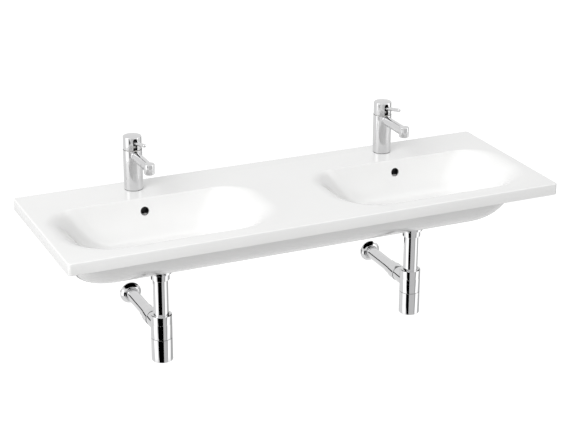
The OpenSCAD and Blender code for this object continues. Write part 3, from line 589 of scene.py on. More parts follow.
def underbody(size):
    """The closed body under the slab, square against the wall."""
    front, end, level = tub_curves(size)
    steps = size.corner_steps

    def ring(t):
        half = size.tub_width / 2 - bezier(end, t)
        y0 = -size.slab_depth + bezier(front, t)
        r = size.tub_corner + (size.tub_foot_corner - size.tub_corner) * t
        whole = rounded_ring((-half, half), (y0, 0), (r, r), bezier(level, t), steps)
        back = np.array([(half, 0, whole[0][2]), (-half, 0, whole[0][2])])
        return np.concatenate([back, whole[2 * (steps + 1):]])

    rings = [ring(k / size.wall_steps) for k in range(size.wall_steps + 1)]
    top = rings[0].copy()
    top[:, 2] = -size.deck_thickness
    inward = (np.array([0, -0.2, 0]) - rings[-1]) * np.array([1, 1, 0])
    foot = [rings[-1] + inward * share for share in (0.02, 0.04, 0.06)]
    lower = soften(rings + foot, size.tub_softness)[1:len(rings) + 1]
    return shift(loft("body", [top, rings[0]] + lower), (0, 0, DECK))


def hollow_cutters(size):
    """The open bay behind the bowls and the hollows that lead off it."""
    side, back, _, bowl_level = bowl_curves(size)
    front, end, tub_level = tub_curves(size)
    skin, deck, ledge = size.shell, -size.deck_thickness, 0.020
    bottom, deep = -size.tub_depth + size.floor_shell, -size.tub_depth - OVERLAP
    under = -size.bowl_depth - size.floor_fall - size.floor_shell
    half_pitch, edge, well = SPAN / 2, size.bay_width / 2, -size.well_back
    near, far = half_pitch - size.rib, half_pitch + size.rib

    wall_y = skin - size.bowl_back
    wall = trace(wall_y, -1, back, bowl_level, (0.25, 0.5, 0.75, 0.9))
    bay = [(-size.flange, deep), (-size.flange, deck), (wall_y, deck), *wall, (wall[-1][0], deep)]
    cutters = [prism(bay, low, high, "X") for low, high in ((-near, near), (far, edge), (-edge, -far))]
    cutters.append(block((-edge, edge), (well, -size.flange), (deep, deck)))

    front_skin = [(-size.slab_depth + bezier(front, t) + skin, bezier(tub_level, t) + skin * t)
                  for t in (0.1, 0.3, 0.5, 0.7)]
    hollow = [(well + OVERLAP, bottom), (well + OVERLAP, deck), (front_skin[0][0], deck), *front_skin,
              (-size.slab_depth + front[3] - 0.004, bottom)]
    half_bowl = size.bowl_width / 2 + skin
    inner = trace(half_pitch - half_bowl, 1, side, bowl_level, (0, 0.4, 0.6, 0.8, 0.9))
    middle = [(inner[0][0], deck), *inner[1:], (inner[-1][0] + ledge, under), (near, under), (near, bottom)]
    middle += [(-x, z) for x, z in reversed(middle)]
    core = prism(hollow, -half_pitch, half_pitch, "X")
    cutters.append(combine(core, prism(middle, -size.slab_depth, 0, "Y"), "INTERSECT"))

    outer = trace(half_pitch + half_bowl, -1, side, bowl_level, (0.9, 0.8, 0.6, 0.45))
    end_skin = trace(size.tub_width / 2 - skin, -1, end, tub_level, (0.15, 0.35, 0.55, 0.75))
    last = [(far, bottom), (far, under), (outer[0][0] - ledge, under), *outer, *end_skin,
            (end_skin[-1][0] - 0.014, bottom)]
    for sign in (1, -1):
        cutters.append(prism([(sign * x, z) for x, z in last], -size.end_well, well + OVERLAP, "Y"))
    return [shift(cutter, (0, 0, DECK)) for cutter in cutters]


def groove_cutters(size):
    """The shallow groove between the hanging lip and the underbody."""
    half = size.slab_width / 2 - size.lip
    front = -size.slab_depth + size.lip
    z = (DECK - size.slab_thickness - OVERLAP, DECK - size.deck_thickness)
    side = (size.slab_width - size.tub_width) / 2 - size.lip
    yield block((-half, half), (front, -size.slab_depth + size.tub_setback), z)
    for low, high in ((-half, -half + side), (half - side, half)):
        yield block((low, high), (front, -size.flange), z)


def overflow_cutters(size, x):
    """The opening in a bowl's back wall and the bent duct from it to the waste."""
    radius = size.duct_radius
    floor_z, mouth_z = DECK - size.bowl_depth - size.floor_fall, DECK - size.overflow_drop
    end_y = size.shell - size.bowl_back - 0.005
    bend = (x, end_y - 0.006, floor_z + 0.012)
    foot = (x, size.waste_radius - size.waste_back - 0.010, floor_z - size.seat_depth - 0.020)
    yield rod(size.overflow_radius / MM, (-size.bowl_back - size.back_run) / MM, end_y / MM,
              (x, 0, mouth_z), "Y")
    yield duct(radius, (x, end_y - radius, mouth_z), (x, bend[1], bend[2] - radius))
    yield duct(radius - 0.0005, bend, foot)


def make_basin(size):
    basin = join(slab(size), underbody(size))
    for x in SIDE_X.values():
        join(basin, rod(size.boss_radius / MM, -size.tub_depth / MM, -size.bowl_depth / MM,
                        (x, -size.waste_back, DECK)))
    cut(basin, *groove_cutters(size), *hollow_cutters(size))
    for x in SIDE_X.values():
        cut(basin, bowl_cutter(size, x), *overflow_cutters(size, x))
        cut(basin, rod(size.tap_hole / MM, -size.deck_thickness / MM - 1, 1, (x, TAP_Y, DECK)))
        for offset in (-size.fixing_pitch / 2, size.fixing_pitch / 2):
            cut(basin, rod(size.fixing_hole / MM, -size.flange / MM - 1, 1, (x + offset, 0, 0), "Y"))
    dress(basin, "basin", "glazed_white", 28)


def spout_axis(fit):
    """The upright axis of the left spout's tip."""
    return (TAP_AXIS[0], TAP_AXIS[1] - fit.spout_reach * MM, DECK)


def make_tap_bodies(fit):
    x, y, _ = TAP_AXIS
    level, tip_axis = (x, y, DECK + fit.spout_level * MM), spout_axis(fit)
    r, top, low = fit.tap_radius, fit.tap_top, fit.tip_foot
    neck = r - 5
    body = turned("body", [
        (0, 68), (neck, 68, 0), (neck, 1.2), (r, 1.2, 0.5), (r, top, 0.5), (neck, top, 0),
        (neck, top + 6), (16.7, top + 6), (16.7, top - 1, 0), (14.9, top - 1, 0), (14.9, top - 7, 0),
        (0, top - 7),
    ], TAP_AXIS)
    tip = turned("tip", [(0, low), (fit.tip_radius, low, 0.6), (fit.tip_radius, top, 1.2), (0, top)],
                 tip_axis)
    join(tip, rod(fit.spout_radius, -fit.spout_reach, -20, level, "Y"))
    join(body, tip)
    cut(body, rod(9.5, low - 1.25, low + 10, tip_axis), rod(5, -fit.spout_reach, -7, level, "Y"))
    for offset in (-8, 8):
        port = (x + offset * MM, y + 6 * MM, DECK)
        cut(body, rod(4.5, 67, 80, port), rod(3, 79, 99.5, port))
    cut(body, rod(4.1, 67, 78, (x, y - 12 * MM, DECK)))
    dress_both(body, "tap_body", "chrome")


def make_tap_handles(fit):
    r, foot, top = fit.handle_radius, fit.handle_foot, fit.handle_top
    half, arch = fit.slot_width / 2, fit.slot_arch
    x, y, _ = TAP_AXIS
    cap = turned("cap", [
        (0, top - 3.8), (r - 3.2, top - 3.8), (r - 3.2, foot), (r, foot, 0.4), (r, top, 1.6), (0, top),
    ], TAP_AXIS)
    slot = block((x - half * MM, x + half * MM), (y - 0.026, y - 0.008),
                 (DECK + (foot - 1.4) * MM, DECK + arch * MM))
    join(slot, rod(half, -26, -8, (x, y, DECK + arch * MM), "Y"))
    cut(cap, slot)
    dress_both(cap, "tap_handle", "chrome")


def make_tap_levers(fit):
    r, length = fit.lever_radius, fit.lever_length
    lever = turned("lever", [
        (0, 21.5), (2.5, 21.5, 0), (2.5, 13, 0.2), (r, 13, 0.3), (r, length, r - 0.05), (0, length),
    ], (0, 0, 0))
    pivot = Matrix.Translation((TAP_AXIS[0], TAP_AXIS[1], DECK + fit.pivot_level * MM))
    lever.data.transform(pivot @ Matrix.Rotation(math.pi / 2 - fit.lever_tilt, 4, "X"))
    dress_both(lever, "tap_lever", "chrome")


def honeycomb_tree():
    """Geometry Nodes that set small six-sided tubes on a round grid inside an aerator."""
    tree = bpy.data.node_groups.new("aerator_grid", "GeometryNodeTree")
    for name, default in (("Radius", 0.007), ("Cell", 0.0021), ("Wall", 0.0003), ("Depth", 0.002)):
        socket = tree.interface.new_socket(name=name, in_out="INPUT", socket_type="NodeSocketFloat")
        socket.default_value = default
    tree.interface.new_socket(name="Finish", in_out="INPUT", socket_type="NodeSocketMaterial")
    tree.interface.new_socket(name="Geometry", in_out="OUTPUT", socket_type="NodeSocketGeometry")
    sheet = Sheet(tree)
    given = sheet.add("NodeGroupInput").socket.node.outputs
    radius, cell, wall, depth, finish = [Value(sheet, socket) for socket in list(given)[:5]]
    rows = 9
    width = cell * float(rows - 1)
    grid = sheet.add("GeometryNodeMeshGrid", None, Size_X=width, Size_Y=width,
                     Vertices_X=rows, Vertices_Y=rows)
    points = sheet.add("GeometryNodeMeshToPoints", None, Mesh=grid)
    place = sheet.add("GeometryNodeInputPosition")
    distance = sheet.add("ShaderNodeVectorMath", {"operation": "LENGTH"}, place, output="Value")
    outside = sheet.add("ShaderNodeMath", {"operation": "GREATER_THAN"}, distance, radius - cell * 0.5)
    kept = sheet.add("GeometryNodeDeleteGeometry", {"domain": "POINT"}, Geometry=points, Selection=outside)
    outline = sheet.add("GeometryNodeCurvePrimitiveCircle", None, Resolution=6, Radius=cell * 0.5)
    strip = sheet.add("GeometryNodeCurvePrimitiveQuadrilateral", None, Width=wall, Height=depth)
    tube = sheet.add("GeometryNodeCurveToMesh", None, Curve=outline, Profile_Curve=strip)
    spread = sheet.add("GeometryNodeInstanceOnPoints", None, Points=kept, Instance=tube)
    real = sheet.add("GeometryNodeRealizeInstances", None, Geometry=spread)
    finished = sheet.add("GeometryNodeSetMaterial", None, Geometry=real, Material=finish)
    sheet.add("NodeGroupOutput", None, Geometry=finished)
    return tree


def grow(name, tree, **values):
    """Runs a Geometry Nodes tree on an empty mesh and keeps the plain mesh that it makes."""
    thing = put(name, bpy.data.meshes.new(name))
    modifier = thing.modifiers.new("grow", "NODES")
    modifier.node_group = tree
    for item in tree.interface.items_tree:
        if item.in_out == "INPUT" and item.name in values:
            modifier[item.identifier] = values[item.name]
    return settle(thing)


def make_aerators(fit):
    axis, low = spout_axis(fit), fit.tip_foot
    shell = turned("shell", [
        (9.4, low + 8), (7.4, low + 8), (7.4, low - 1.5, 0.3), (12, low - 1.5, 0.5), (12, low, 0.2),
        (9.4, low, 0),
    ], axis)
    tree = honeycomb_tree()
    for side, x in SIDE_X.items():
        ring = put("ring", shell.data.copy())
        dress(shift(ring, (x - axis[0], 0, 0)), f"{side}_tap_aerator", "chrome")
        grid = grow(f"{side}_aerator_grid", tree, Radius=0.0074, Cell=0.0021, Wall=0.0003, Depth=0.002,
                    Finish=finish_of("steel"))
        shift(grid, (x, axis[1], DECK + (low + 2.75) * MM))
        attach(grid, frame["nodes"][f"{side}_tap_aerator"]["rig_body"])
    bpy.data.objects.remove(shell)


def make_wastes(fit):
    x, y, _ = WASTE_AXIS
    bore, tail, flange, seat = fit.waste_bore, fit.waste_bore + 3, 32, -113.5
    body = turned("waste", [
        (bore, -170, 0.3), (tail, -170, 0.5), (tail, seat, 0), (flange, seat, 0.3), (flange, seat + 2, 0.9),
        (bore, seat + 2, 1.2),
    ], WASTE_AXIS)
    hub_low, hub_high, guide = -139.5, -127.5, 5.05
    hub = turned("hub", [(guide, hub_low), (8, hub_low, 0.4), (8, hub_high, 0.4), (guide, hub_high)],
                 WASTE_AXIS)
    for half_x, half_y in ((18.5, 1.5), (1.5, 18.5)):
        join(hub, block_at(WASTE_AXIS, half_x, half_y, hub_low, hub_high - 4))
    cut(hub, rod(guide, hub_low - 1.5, hub_high + 1.5, WASTE_AXIS))
    join(body, hub)
    for dx, dy in ((1, 0), (-1, 0), (0, 1), (0, -1)):
        window = (x + dx * 20 * MM, y + dy * 20 * MM, DECK)
        half_x, half_y = (4, 7) if dx else (7, 4)
        cut(body, block_at(window, half_x, half_y, -131.5, -122.5))
    dress_both(body, "waste_body", "chrome")

    dome, rim = 2.5, fit.plug_radius
    dome_r = (rim ** 2 + dome ** 2) / (2 * dome)
    peak, edge = -105.2, -107.7
    arc = [(dome_r * math.sin(a), peak - dome_r + dome_r * math.cos(a), 0)
           for a in np.linspace(math.asin(rim / dome_r) * 0.96, 0, 14)]
    plug = turned("plug", [
        (0, -155.5), (5, -155.5, 0.6), (5, edge - 2, 0), (rim, edge - 2, 0.3), (rim, edge, 0.6), *arc,
    ], WASTE_AXIS)
    dress_both(plug, "waste_plug", "chrome")

    nut_r, thread, low, high, notches = 29, tail + 0.1, -160, -153, 8
    nut = turned("nut", [(thread, low, 0.4), (nut_r, low, 0.6), (nut_r, high, 0.6), (thread, high, 0.3)],
                 WASTE_AXIS)
    for k in range(notches):
        angle = 2 * math.pi / notches * k
        notch = (x + nut_r * MM * math.cos(angle), y + nut_r * MM * math.sin(angle), DECK)
        cut(nut, rod(2.5, low - 1, high + 1, notch))
    dress_both(nut, "waste_back_nut", "chrome")


def make_traps(fit):
    tube, bottle_r = fit.tube_radius, fit.bottle_radius
    sleeve, thread = tube + 0.15, fit.waste_bore + 3.1
    shoulder, joint, foot = -295.5, -336, -397
    pieces = {
        "trap_collar_nut": [
            (sleeve, -177), (23.5, -177, 0.8), (23.5, -161, 0.8), (thread, -161), (thread, -174, 0),
            (sleeve, -174, 0),
        ],
        "trap_inlet_tube": [
            (tube - 1.5, -349), (tube, -349), (tube, -174, 0), (20.85, -174), (20.85, -172),
            (tube - 1.5, -172),
        ],
        "trap_union_nut": [
            (bottle_r - 1.9, shoulder), (bottle_r, shoulder, 0.15), (bottle_r, -272.5, 0.8),
            (sleeve, -272.5, 0.4), (sleeve, -276.5, 0), (bottle_r - 1.9, -276.5, 0),
        ],
        "trap_cup": [
            (0, foot), (bottle_r, foot, 1.2), (bottle_r, joint, 0.15), (bottle_r - 1.5, joint, 0.2),
            (bottle_r - 1.5, joint - 12, 0), (bottle_r - 3, joint - 12, 0), (bottle_r - 3, foot + 3, 2),
            (0, foot + 3),
        ],
    }
    for name, profile in pieces.items():
        dress_both(turned(name, profile, WASTE_AXIS), name, "chrome")

    bottle = turned("bottle", [
        (0, joint - 11), (bottle_r - 1.6, joint - 11), (bottle_r - 1.6, joint + 1, 0),
        (bottle_r, joint + 1, 0.15), (bottle_r, shoulder, 0.15), (bottle_r - 2, shoulder, 0),
        (bottle_r - 2, shoulder + 14), (0, shoulder + 14),
    ], WASTE_AXIS)
    level = (WASTE_AXIS[0], WASTE_AXIS[1], OUTLET_Z)
    boss = turned("boss", [(0, 0, 0), (20, 0, 0), (20, 71, 0.6), (0, 71)], level, "Y")
    cut(boss, rod(bottle_r + 0.3, shoulder, shoulder + 5.5, WASTE_AXIS))
    join(bottle, boss)
    cut(bottle, rod(23.5, joint - 12, shoulder + 15.5, WASTE_AXIS), rod(12, 0, 72, level, "Y"),
        rod(fit.pipe_radius + 0.1, 62.9, 72, level, "Y"))
    dress_both(bottle, "trap_bottle", "chrome")


def make_outlets(fit):
    level = (SIDE_X["left"], 0, OUTLET_Z)
    pipe, start, rose = fit.pipe_radius, -174, fit.rose_radius
    pieces = {
        "trap_outlet_nut": [
            (20.1, -176), (21, -176, 0.4), (21, -148, 0.8), (18, -148, 0), (18, -122, 0.6),
            (pipe + 0.1, -122), (pipe + 0.1, -162, 0), (20.1, -162, 0),
        ],
        "outlet_pipe": [(pipe - 1.5, start), (pipe, start), (pipe, 0), (pipe - 1.5, 0)],
        "wall_rose": [
            (rose - 2, 0, 0), (rose, 0, 0.3), (rose, -3, 1), (rose - 2, -4.5, 2), (22, -10, 3),
            (19, -12, 0.8), (pipe + 0.05, -12, 0.3), (pipe + 0.05, -7.5, 0), (20, -7.5, 0),
            (rose - 2, -1.5, 0),
        ],
    }
    for name, profile in pieces.items():
        dress_both(turned(name, profile, level, "Y"), name, "chrome")


def make_hidden_parts():
    """Gives every CAD node that still shows its own finish."""
    slots = {
        "rubber": ("seals", "_seal", "clamp_pads"), "brass": ("studs", "stud_nuts"),
        "steel": ("washers", "cartridge_nuts", "pivot_pin", "lever_stem", "turret"),
        "cartridge_plastic": ("slide_rings", "plug_guides", "tap_cartridge"),
    }
    for name, node in frame["nodes"].items():
        if node.hide_render:
            continue
        material = finish_of(next((slot for slot, ends in slots.items() if name.endswith(ends)), "chrome"))
        if not node.material_slots:
            node.data.materials.append(material)
        for holder in node.material_slots:
            holder.material = material


def make_floor(stage):
    """A white floor that keeps the object's shadow, and is white to the camera where it is lit."""
    half, level = 16.0, stage.floor_level
    corners = [(-half, -half, level), (half, -half, level), (half, half, level), (-half, half, level)]
    floor = solid("floor", corners, [(0, 1, 2, 3)])

    def shader(sheet):
        seen = sheet.add("ShaderNodeLightPath", output="Is Camera Ray")
        matte = sheet.add("ShaderNodeBsdfDiffuse", None, Color=opaque((stage.floor_bounce,) * 3))
        shadow = sheet.add("ShaderNodeBsdfDiffuse", None, Color=(0.3, 0.3, 0.3, 1))
        glow = sheet.add("ShaderNodeEmission", None, Color=WHITE, Strength=stage.floor_lift)
        lifted = sheet.add("ShaderNodeAddShader", None, shadow, glow)
        return sheet.add("ShaderNodeMixShader", None, seen, matte, lifted)

    floor.data.materials.append(new_material("floor", shader))
    floor.visible_glossy = False


def make_world(stage):
    """Even light, white behind the object, and light and dark bands for the chrome to mirror."""
    world = bpy.data.worlds.new("studio")
    world.use_nodes = True
    bpy.context.scene.world = world
    sheet = Sheet(world.node_tree)
    path = sheet.add("ShaderNodeLightPath").socket.node.outputs
    seen, mirrored = Value(sheet, path["Is Camera Ray"]), Value(sheet, path["Is Glossy Ray"])
    x, y, z = sheet.split(sheet.add("ShaderNodeTexCoord", output=0))
    yaw = stage.camera_yaw
    ahead = x * -math.sin(yaw) + y * -math.cos(yaw)
    leftward = x * -math.cos(yaw) + y * math.sin(yaw)
    turn = leftward.angle_from(ahead)

    def band(low, high, soft=4):
        """1 between two angles left of the camera, in degrees, with soft edges."""
        return turn.within(math.radians(low), math.radians(high), math.radians(soft))

    below, above = 1.0 - z.step(-0.15, 0.05), z.step(0.05, 0.2)
    over_floor = z.step(-0.62, -0.48)
    beyond = turn.absolute().step(math.radians(145), math.radians(160)) * z.step(-0.52, -0.47)
    dim = band(-64, 6) * 0.24
    windows = band(46, 84) * 0.75 + band(-104, -68) * 0.62
    posts = (band(-64, -57, 1.5) + band(-150, -113, 3)) * over_floor * 0.4
    mirror = 0.92 + windows * (1.0 + above) * over_floor - (dim + posts + beyond * 0.35) * below
    ambient = leftward * stage.ambient_lean + stage.ambient
    colour = sheet.mix(seen, sheet.mix(mirrored, ambient, mirror), WHITE)
    back = sheet.add("ShaderNodeBackground", None, Color=colour, Strength=1.0)
    sheet.add("ShaderNodeOutputWorld", None, Surface=back)


def make_lamp(name, place, size, power):
    """A round soft lamp that points at the basin and isn't mirrored in it."""
    light = bpy.data.lights.new(name, "AREA")
    light.shape = "DISK"
    light.size = size
    light.energy = power
    lamp = put(name, light)
    lamp.location = place
    lamp.rotation_mode = "QUATERNION"
    lamp.rotation_quaternion = (Vector((0, -0.2, 0)) - Vector(place)).to_track_quat("-Z", "Y")
    lamp.visible_glossy = False


def make_card(name, corners):
    """A black card, seen only in the polished parts."""
    card = solid(name, corners, [(0, 1, 2, 3)])
    card.data.materials.append(new_material(name, lambda sheet: sheet.add(
        "ShaderNodeEmission", None, Color=BLACK, Strength=0.0)))
    for ray in ("camera", "diffuse", "shadow", "transmission"):
        setattr(card, f"visible_{ray}", False)
    return card


def make_cards(stage):
    """A flag beside the camera darkens the tubes, a ceiling the roses, and a wedge behind each pipe."""
    x, z = stage.flag_width / 2, stage.flag_height / 2
    flag = make_card("flag", [(-x, 0, -z), (x, 0, -z), (x, 0, z), (-x, 0, z)])
    flag.data.transform(Matrix.Translation(stage.flag_place) @ Matrix.Rotation(stage.flag_turn, 4, "Z"))
    # painted shade: a black sheet just under the underbody, seen only in reflections, stands in for the
    # basin's shaded underside
    x, front, back = stage.ceiling_width / 2, -0.24, -0.03
    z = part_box("basin")[0].z - OVERLAP
    make_card("ceiling", [(-x, front, z), (x, front, z), (x, back, z), (-x, back, z)])
    behind_wall = 0.05
    for side in SIDE_X:
        low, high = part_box(f"{side}_outlet_pipe")
        x, z = (low.x + high.x) / 2, (low.z + high.z) / 2
        far, near = x - stage.wedge_reach, x - 0.030
        make_card(f"{side}_wedge", [(far, behind_wall, z - 0.024), (near, behind_wall, z - 0.004),
                                    (near, behind_wall, z + 0.010), (far, behind_wall, z + 0.042)])


def make_camera(stage):
    """The photograph's own view, solved from the edges of the slab."""
    yaw, pitch, roll = stage.camera_yaw, stage.camera_pitch, stage.camera_roll
    ahead = Vector((math.sin(yaw) * math.cos(pitch), math.cos(yaw) * math.cos(pitch), -math.sin(pitch)))
    right = Vector((math.cos(yaw), -math.sin(yaw), 0))
    up = right.cross(ahead)
    across = right * math.cos(roll) + up * math.sin(roll)
    above = up * math.cos(roll) - right * math.sin(roll)
    camera = put("camera", bpy.data.cameras.new("camera"))
    camera.data.lens = stage.camera_lens
    camera.data.sensor_width = 36.0
    camera.data.clip_end = 100.0
    turn = Matrix((across, above, -ahead)).transposed().to_4x4()
    camera.matrix_world = Matrix.Translation(stage.camera_place) @ turn
    bpy.context.scene.camera = camera


def make_stage(stage):
    make_floor(stage)
    make_world(stage)
    make_lamp("key", stage.key_place, 6.0, stage.key_power)
    make_lamp("front", stage.front_place, 2.4, stage.front_power)
    make_cards(stage)
    make_camera(stage)
    bpy.context.scene.view_settings.view_transform = "Standard"


def metres(name, default):
    return FloatProperty(name=name, description=f"{name} in metres", default=default, unit="LENGTH",
                         precision=4, min=0.0)


def millimetres(name, default):
    return FloatProperty(name=name, description=f"{name} in millimetres", default=default, min=0.0)


def amount(name, text, default, **more):
    return FloatProperty(name=name, description=text, default=default, **more)


def degrees(name, text, default):
    return amount(name, text, math.radians(default), subtype="ANGLE")


def position(name, text, default):
    return FloatVectorProperty(name=name, description=text, subtype="TRANSLATION", unit="LENGTH",
                               default=default)


def tint(name, text, default):
    return FloatVectorProperty(name=name, description=text, subtype="COLOR", default=default, min=0, max=1)


class WashbasinSize(bpy.types.PropertyGroup):
    """The fireclay's own sizes."""
    slab_width: metres("Slab width", 1.300)
    slab_depth: metres("Slab depth", 0.460)
    slab_thickness: metres("Slab thickness", 0.030)
    slab_corner: metres("Slab corner radius", 0.009)
    slab_edge: metres("Slab top edge radius", 0.003)
    slab_foot_edge: metres("Slab lower edge radius", 0.0012)
    deck_thickness: metres("Deck thickness", 0.018)
    lip: metres("Lip width", 0.018)
    bowl_width: metres("Bowl width", 0.562)
    bowl_length: metres("Bowl length", 0.292)
    bowl_back: metres("Bowl distance from the wall", 0.130)
    bowl_depth: metres("Bowl depth", 0.106)
    floor_fall: metres("Fall of the bowl floor", 0.006)
    bowl_corner: metres("Bowl front corner radius", 0.130)
    bowl_back_corner: metres("Bowl back corner radius", 0.090)
    bowl_floor_corner: metres("Bowl floor corner radius", 0.048)
    side_brow: metres("Side brow", 0.070)
    side_belly: metres("Side belly", 0.085)
    side_run: metres("Side run", 0.150)
    back_brow: metres("Back brow", 0.002)
    back_belly: metres("Back belly", 0.006)
    back_run: metres("Back run", 0.068)
    front_brow: metres("Front brow", 0.042)
    front_belly: metres("Front belly", 0.046)
    front_run: metres("Front run", 0.122)
    edge_softness: metres("Softness of the bowl's edge", 0.012)
    tub_width: metres("Underbody width", 1.236)
    tub_setback: metres("Underbody setback", 0.042)
    tub_depth: metres("Underbody depth", 0.150)
    tub_brow: metres("Underbody front brow", 0.008)
    tub_belly: metres("Underbody front belly", 0.084)
    tub_run: metres("Underbody front run", 0.150)
    tub_end_belly: metres("Underbody end belly", 0.038)
    tub_end_run: metres("Underbody end run", 0.066)
    tub_cheek: metres("Underbody cheek height", 0.055)
    tub_heel: metres("Underbody heel height", 0.025)
    tub_corner: metres("Underbody corner radius", 0.150)
    tub_foot_corner: metres("Underbody lower corner radius", 0.064)
    tub_softness: metres("Softness of the underbody's foot", 0.010)
    shell: metres("Wall thickness", 0.014)
    floor_shell: metres("Floor thickness", 0.012)
    flange: metres("Back wall thickness", 0.016)
    rib: metres("Half width of the ribs", 0.036)
    bay_width: metres("Bay width", 1.080)
    well_back: metres("Well depth", 0.087)
    end_well: metres("End well depth", 0.225)
    waste_back: metres("Waste distance from the wall", 0.237)
    waste_radius: metres("Waste hole radius", 0.023)
    boss_radius: metres("Waste boss radius", 0.031)
    seat_radius: metres("Waste seat radius", 0.0335)
    seat_depth: metres("Waste seat depth", 0.003)
    seat_softness: metres("Softness of the waste seat", 0.0018)
    overflow_drop: metres("Overflow distance under the deck", 0.034)
    overflow_radius: metres("Overflow radius", 0.011)
    duct_radius: metres("Overflow duct radius", 0.007)
    tap_hole: metres("Tap hole radius", 0.0175)
    fixing_hole: metres("Fixing hole radius", 0.007)
    fixing_pitch: metres("Fixing hole pitch", 0.280)
    corner_steps: IntProperty(name="Corner steps", description="Faces round each corner", default=24, min=4)
    wall_steps: IntProperty(name="Wall steps", description="Faces down each wall", default=64, min=8)


class WashbasinFittings(bpy.types.PropertyGroup):
    """Main sizes of the taps, wastes and traps. Levels count from the deck."""
    tap_radius: millimetres("Tap body radius", 24)
    tap_top: millimetres("Tap body top", 105.5)
    spout_reach: millimetres("Spout reach", 123)
    spout_level: millimetres("Spout level", 93)
    spout_radius: millimetres("Spout radius", 12.25)
    tip_radius: millimetres("Spout tip radius", 13)
    tip_foot: millimetres("Spout tip foot", 80.25)
    handle_radius: millimetres("Handle radius", 23.25)
    handle_foot: millimetres("Handle foot", 106.4)
    handle_top: millimetres("Handle top", 140)
    slot_width: millimetres("Handle slot width", 11)
    slot_arch: millimetres("Handle slot arch level", 132.1)
    pivot_level: millimetres("Lever pivot level", 122)
    lever_length: millimetres("Lever length", 99)
    lever_radius: millimetres("Lever radius", 4.5)
    lever_tilt: degrees("Lever tilt", "Slope of the closed lever", 12.4)
    waste_bore: millimetres("Waste bore radius", 18)
    plug_radius: millimetres("Plug radius", 25)
    tube_radius: millimetres("Inlet tube radius", 19)
    bottle_radius: millimetres("Bottle radius", 27)
    pipe_radius: millimetres("Outlet pipe radius", 16)
    rose_radius: millimetres("Wall rose radius", 28.5)


class WashbasinLook(bpy.types.PropertyGroup):
    """Finishes, and the fineness of the turned pieces."""
    glaze_colour: tint("Glaze colour", "Colour of the white glaze", (0.90, 0.90, 0.895))
    glaze_roughness: amount("Glaze roughness", "Roughness of the glaze", 0.10, min=0, max=1)
    chrome_colour: tint("Chrome colour", "Colour of the chrome plate", (0.70, 0.70, 0.705))
    chrome_roughness: amount("Chrome roughness", "Roughness of the chrome plate", 0.03, min=0, max=1)
    segments: IntProperty(name="Segments", description="Faces round a turned piece", default=96, min=12)


class WashbasinStage(bpy.types.PropertyGroup):
    """The studio: floor, light and camera."""
    floor_level: amount("Floor level", "Height of the floor under the hung basin", -0.785, unit="LENGTH")
    floor_lift: amount("Floor lift", "Light that the floor adds towards the camera", 0.86, min=0)
    floor_bounce: amount("Floor bounce", "Share of light that the floor sends back", 0.5, min=0, max=1)
    flag_width: metres("Flag width", 2.61)
    flag_height: metres("Flag height", 1.70)
    flag_turn: degrees("Flag turn", "Turn of the flag from the wall's own line", 7.7)
    flag_place: position("Flag place", "Where the black flag stands", (-1.667, -1.635, -1.2))
    # painted shade: width of the black sheet under the basin that stands in for its shaded underside in
    # reflections
    ceiling_width: metres("Ceiling width", 1.0)
    wedge_reach: metres("Wedge reach", 0.235)
    ambient: amount("Ambient light", "Strength of the even light", 0.69, min=0)
    ambient_lean: amount("Lean of the even light", "How much more of it comes from the left", 0.24, min=0)
    key_place: position("Key place", "Where the lamp on the left stands", (-6.4, -4.4, 5.2))
    key_power: amount("Key power", "Power of the lamp on the left", 428, min=0, unit="POWER")
    front_place: position("Front place", "Where the lamp in front stands", (0.8, -4.2, 1.2))
    front_power: amount("Front power", "Power of the lamp in front", 15, min=0, unit="POWER")
    camera_yaw: degrees("Camera yaw", "Turn of the view from straight on", 24.514)
    camera_pitch: degrees("Camera pitch", "Angle that the view looks down", 21.698)
    camera_roll: degrees("Camera roll", "Tilt of the view", 0.2604)
    camera_lens: amount("Lens", "Focal length in millimetres on a 36 mm sensor", 101.42, min=1)
    camera_place: position("Camera place", "Where the camera stands", (-1.59647, -3.73741, 1.51856))


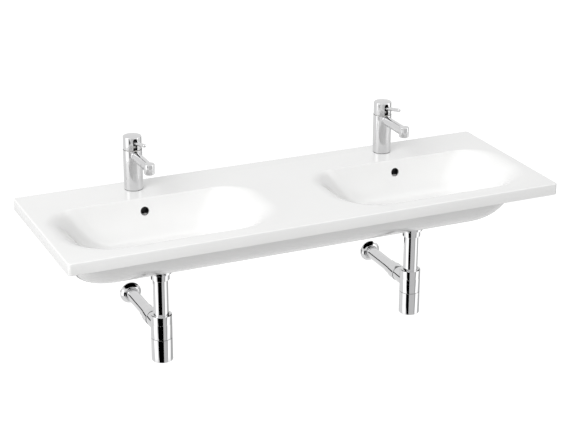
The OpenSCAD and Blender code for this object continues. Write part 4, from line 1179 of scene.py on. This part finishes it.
def piece_operator(make, text, *groups):
    """An operator class that runs one make function on its groups of settings."""
    key = make.__name__.removeprefix("make_")

    def execute(self, context):
        make(*(getattr(context.scene, group) for group in groups))
        return {"FINISHED"}

    return type(f"WASHBASIN_OT_{key}", (bpy.types.Operator,), {
        "bl_idname": f"washbasin.{key}", "bl_label": key.replace("_", " ").title(),
        "__doc__": text, "execute": execute,
    })


OPERATORS = [piece_operator(*row) for row in (
    (make_basin, "Make the glazed fireclay basin", "washbasin_size"),
    *((make, text, "washbasin_fittings") for make, text in (
        (make_tap_bodies, "Make both tap bodies with their spouts"),
        (make_tap_handles, "Make both handles with their slots"),
        (make_tap_levers, "Make both pin levers"),
        (make_aerators, "Make both aerators with their grids"),
        (make_wastes, "Make the waste bodies, plugs and back nuts"),
        (make_traps, "Make the collar nuts, tubes, union nuts, bottles and cups"),
        (make_outlets, "Make the outlet nuts, pipes and wall roses"),
    )),
    (make_hidden_parts, "Finish the seals, studs and inner parts"),
    (make_stage, "Make the floor, the light and the camera", "washbasin_stage"),
)]
GROUPS = {
    "washbasin_size": WashbasinSize, "washbasin_fittings": WashbasinFittings,
    "washbasin_look": WashbasinLook, "washbasin_stage": WashbasinStage,
}


class WASHBASIN_PT_panel(bpy.types.Panel):
    """Lists the steps that build the washbasin."""
    bl_label = "Washbasin"
    bl_idname = "WASHBASIN_PT_panel"
    bl_space_type = "VIEW_3D"
    bl_region_type = "UI"
    bl_category = "Washbasin"

    def draw(self, context):
        for step in OPERATORS:
            self.layout.operator(step.bl_idname)
        for key, group in GROUPS.items():
            box = self.layout.box()
            for name in group.__annotations__:
                box.prop(getattr(context.scene, key), name)


CLASSES = [*GROUPS.values(), *OPERATORS, WASHBASIN_PT_panel]


def register():
    for one in CLASSES:
        bpy.utils.register_class(one)
    for key, group in GROUPS.items():
        setattr(bpy.types.Scene, key, PointerProperty(type=group))


def unregister():
    for key in GROUPS:
        delattr(bpy.types.Scene, key)
    for one in reversed(CLASSES):
        bpy.utils.unregister_class(one)


def main():
    register()
    for step in OPERATORS:
        getattr(bpy.ops.washbasin, step.bl_idname.split(".")[1])()


if __name__ == "__main__":
    main()
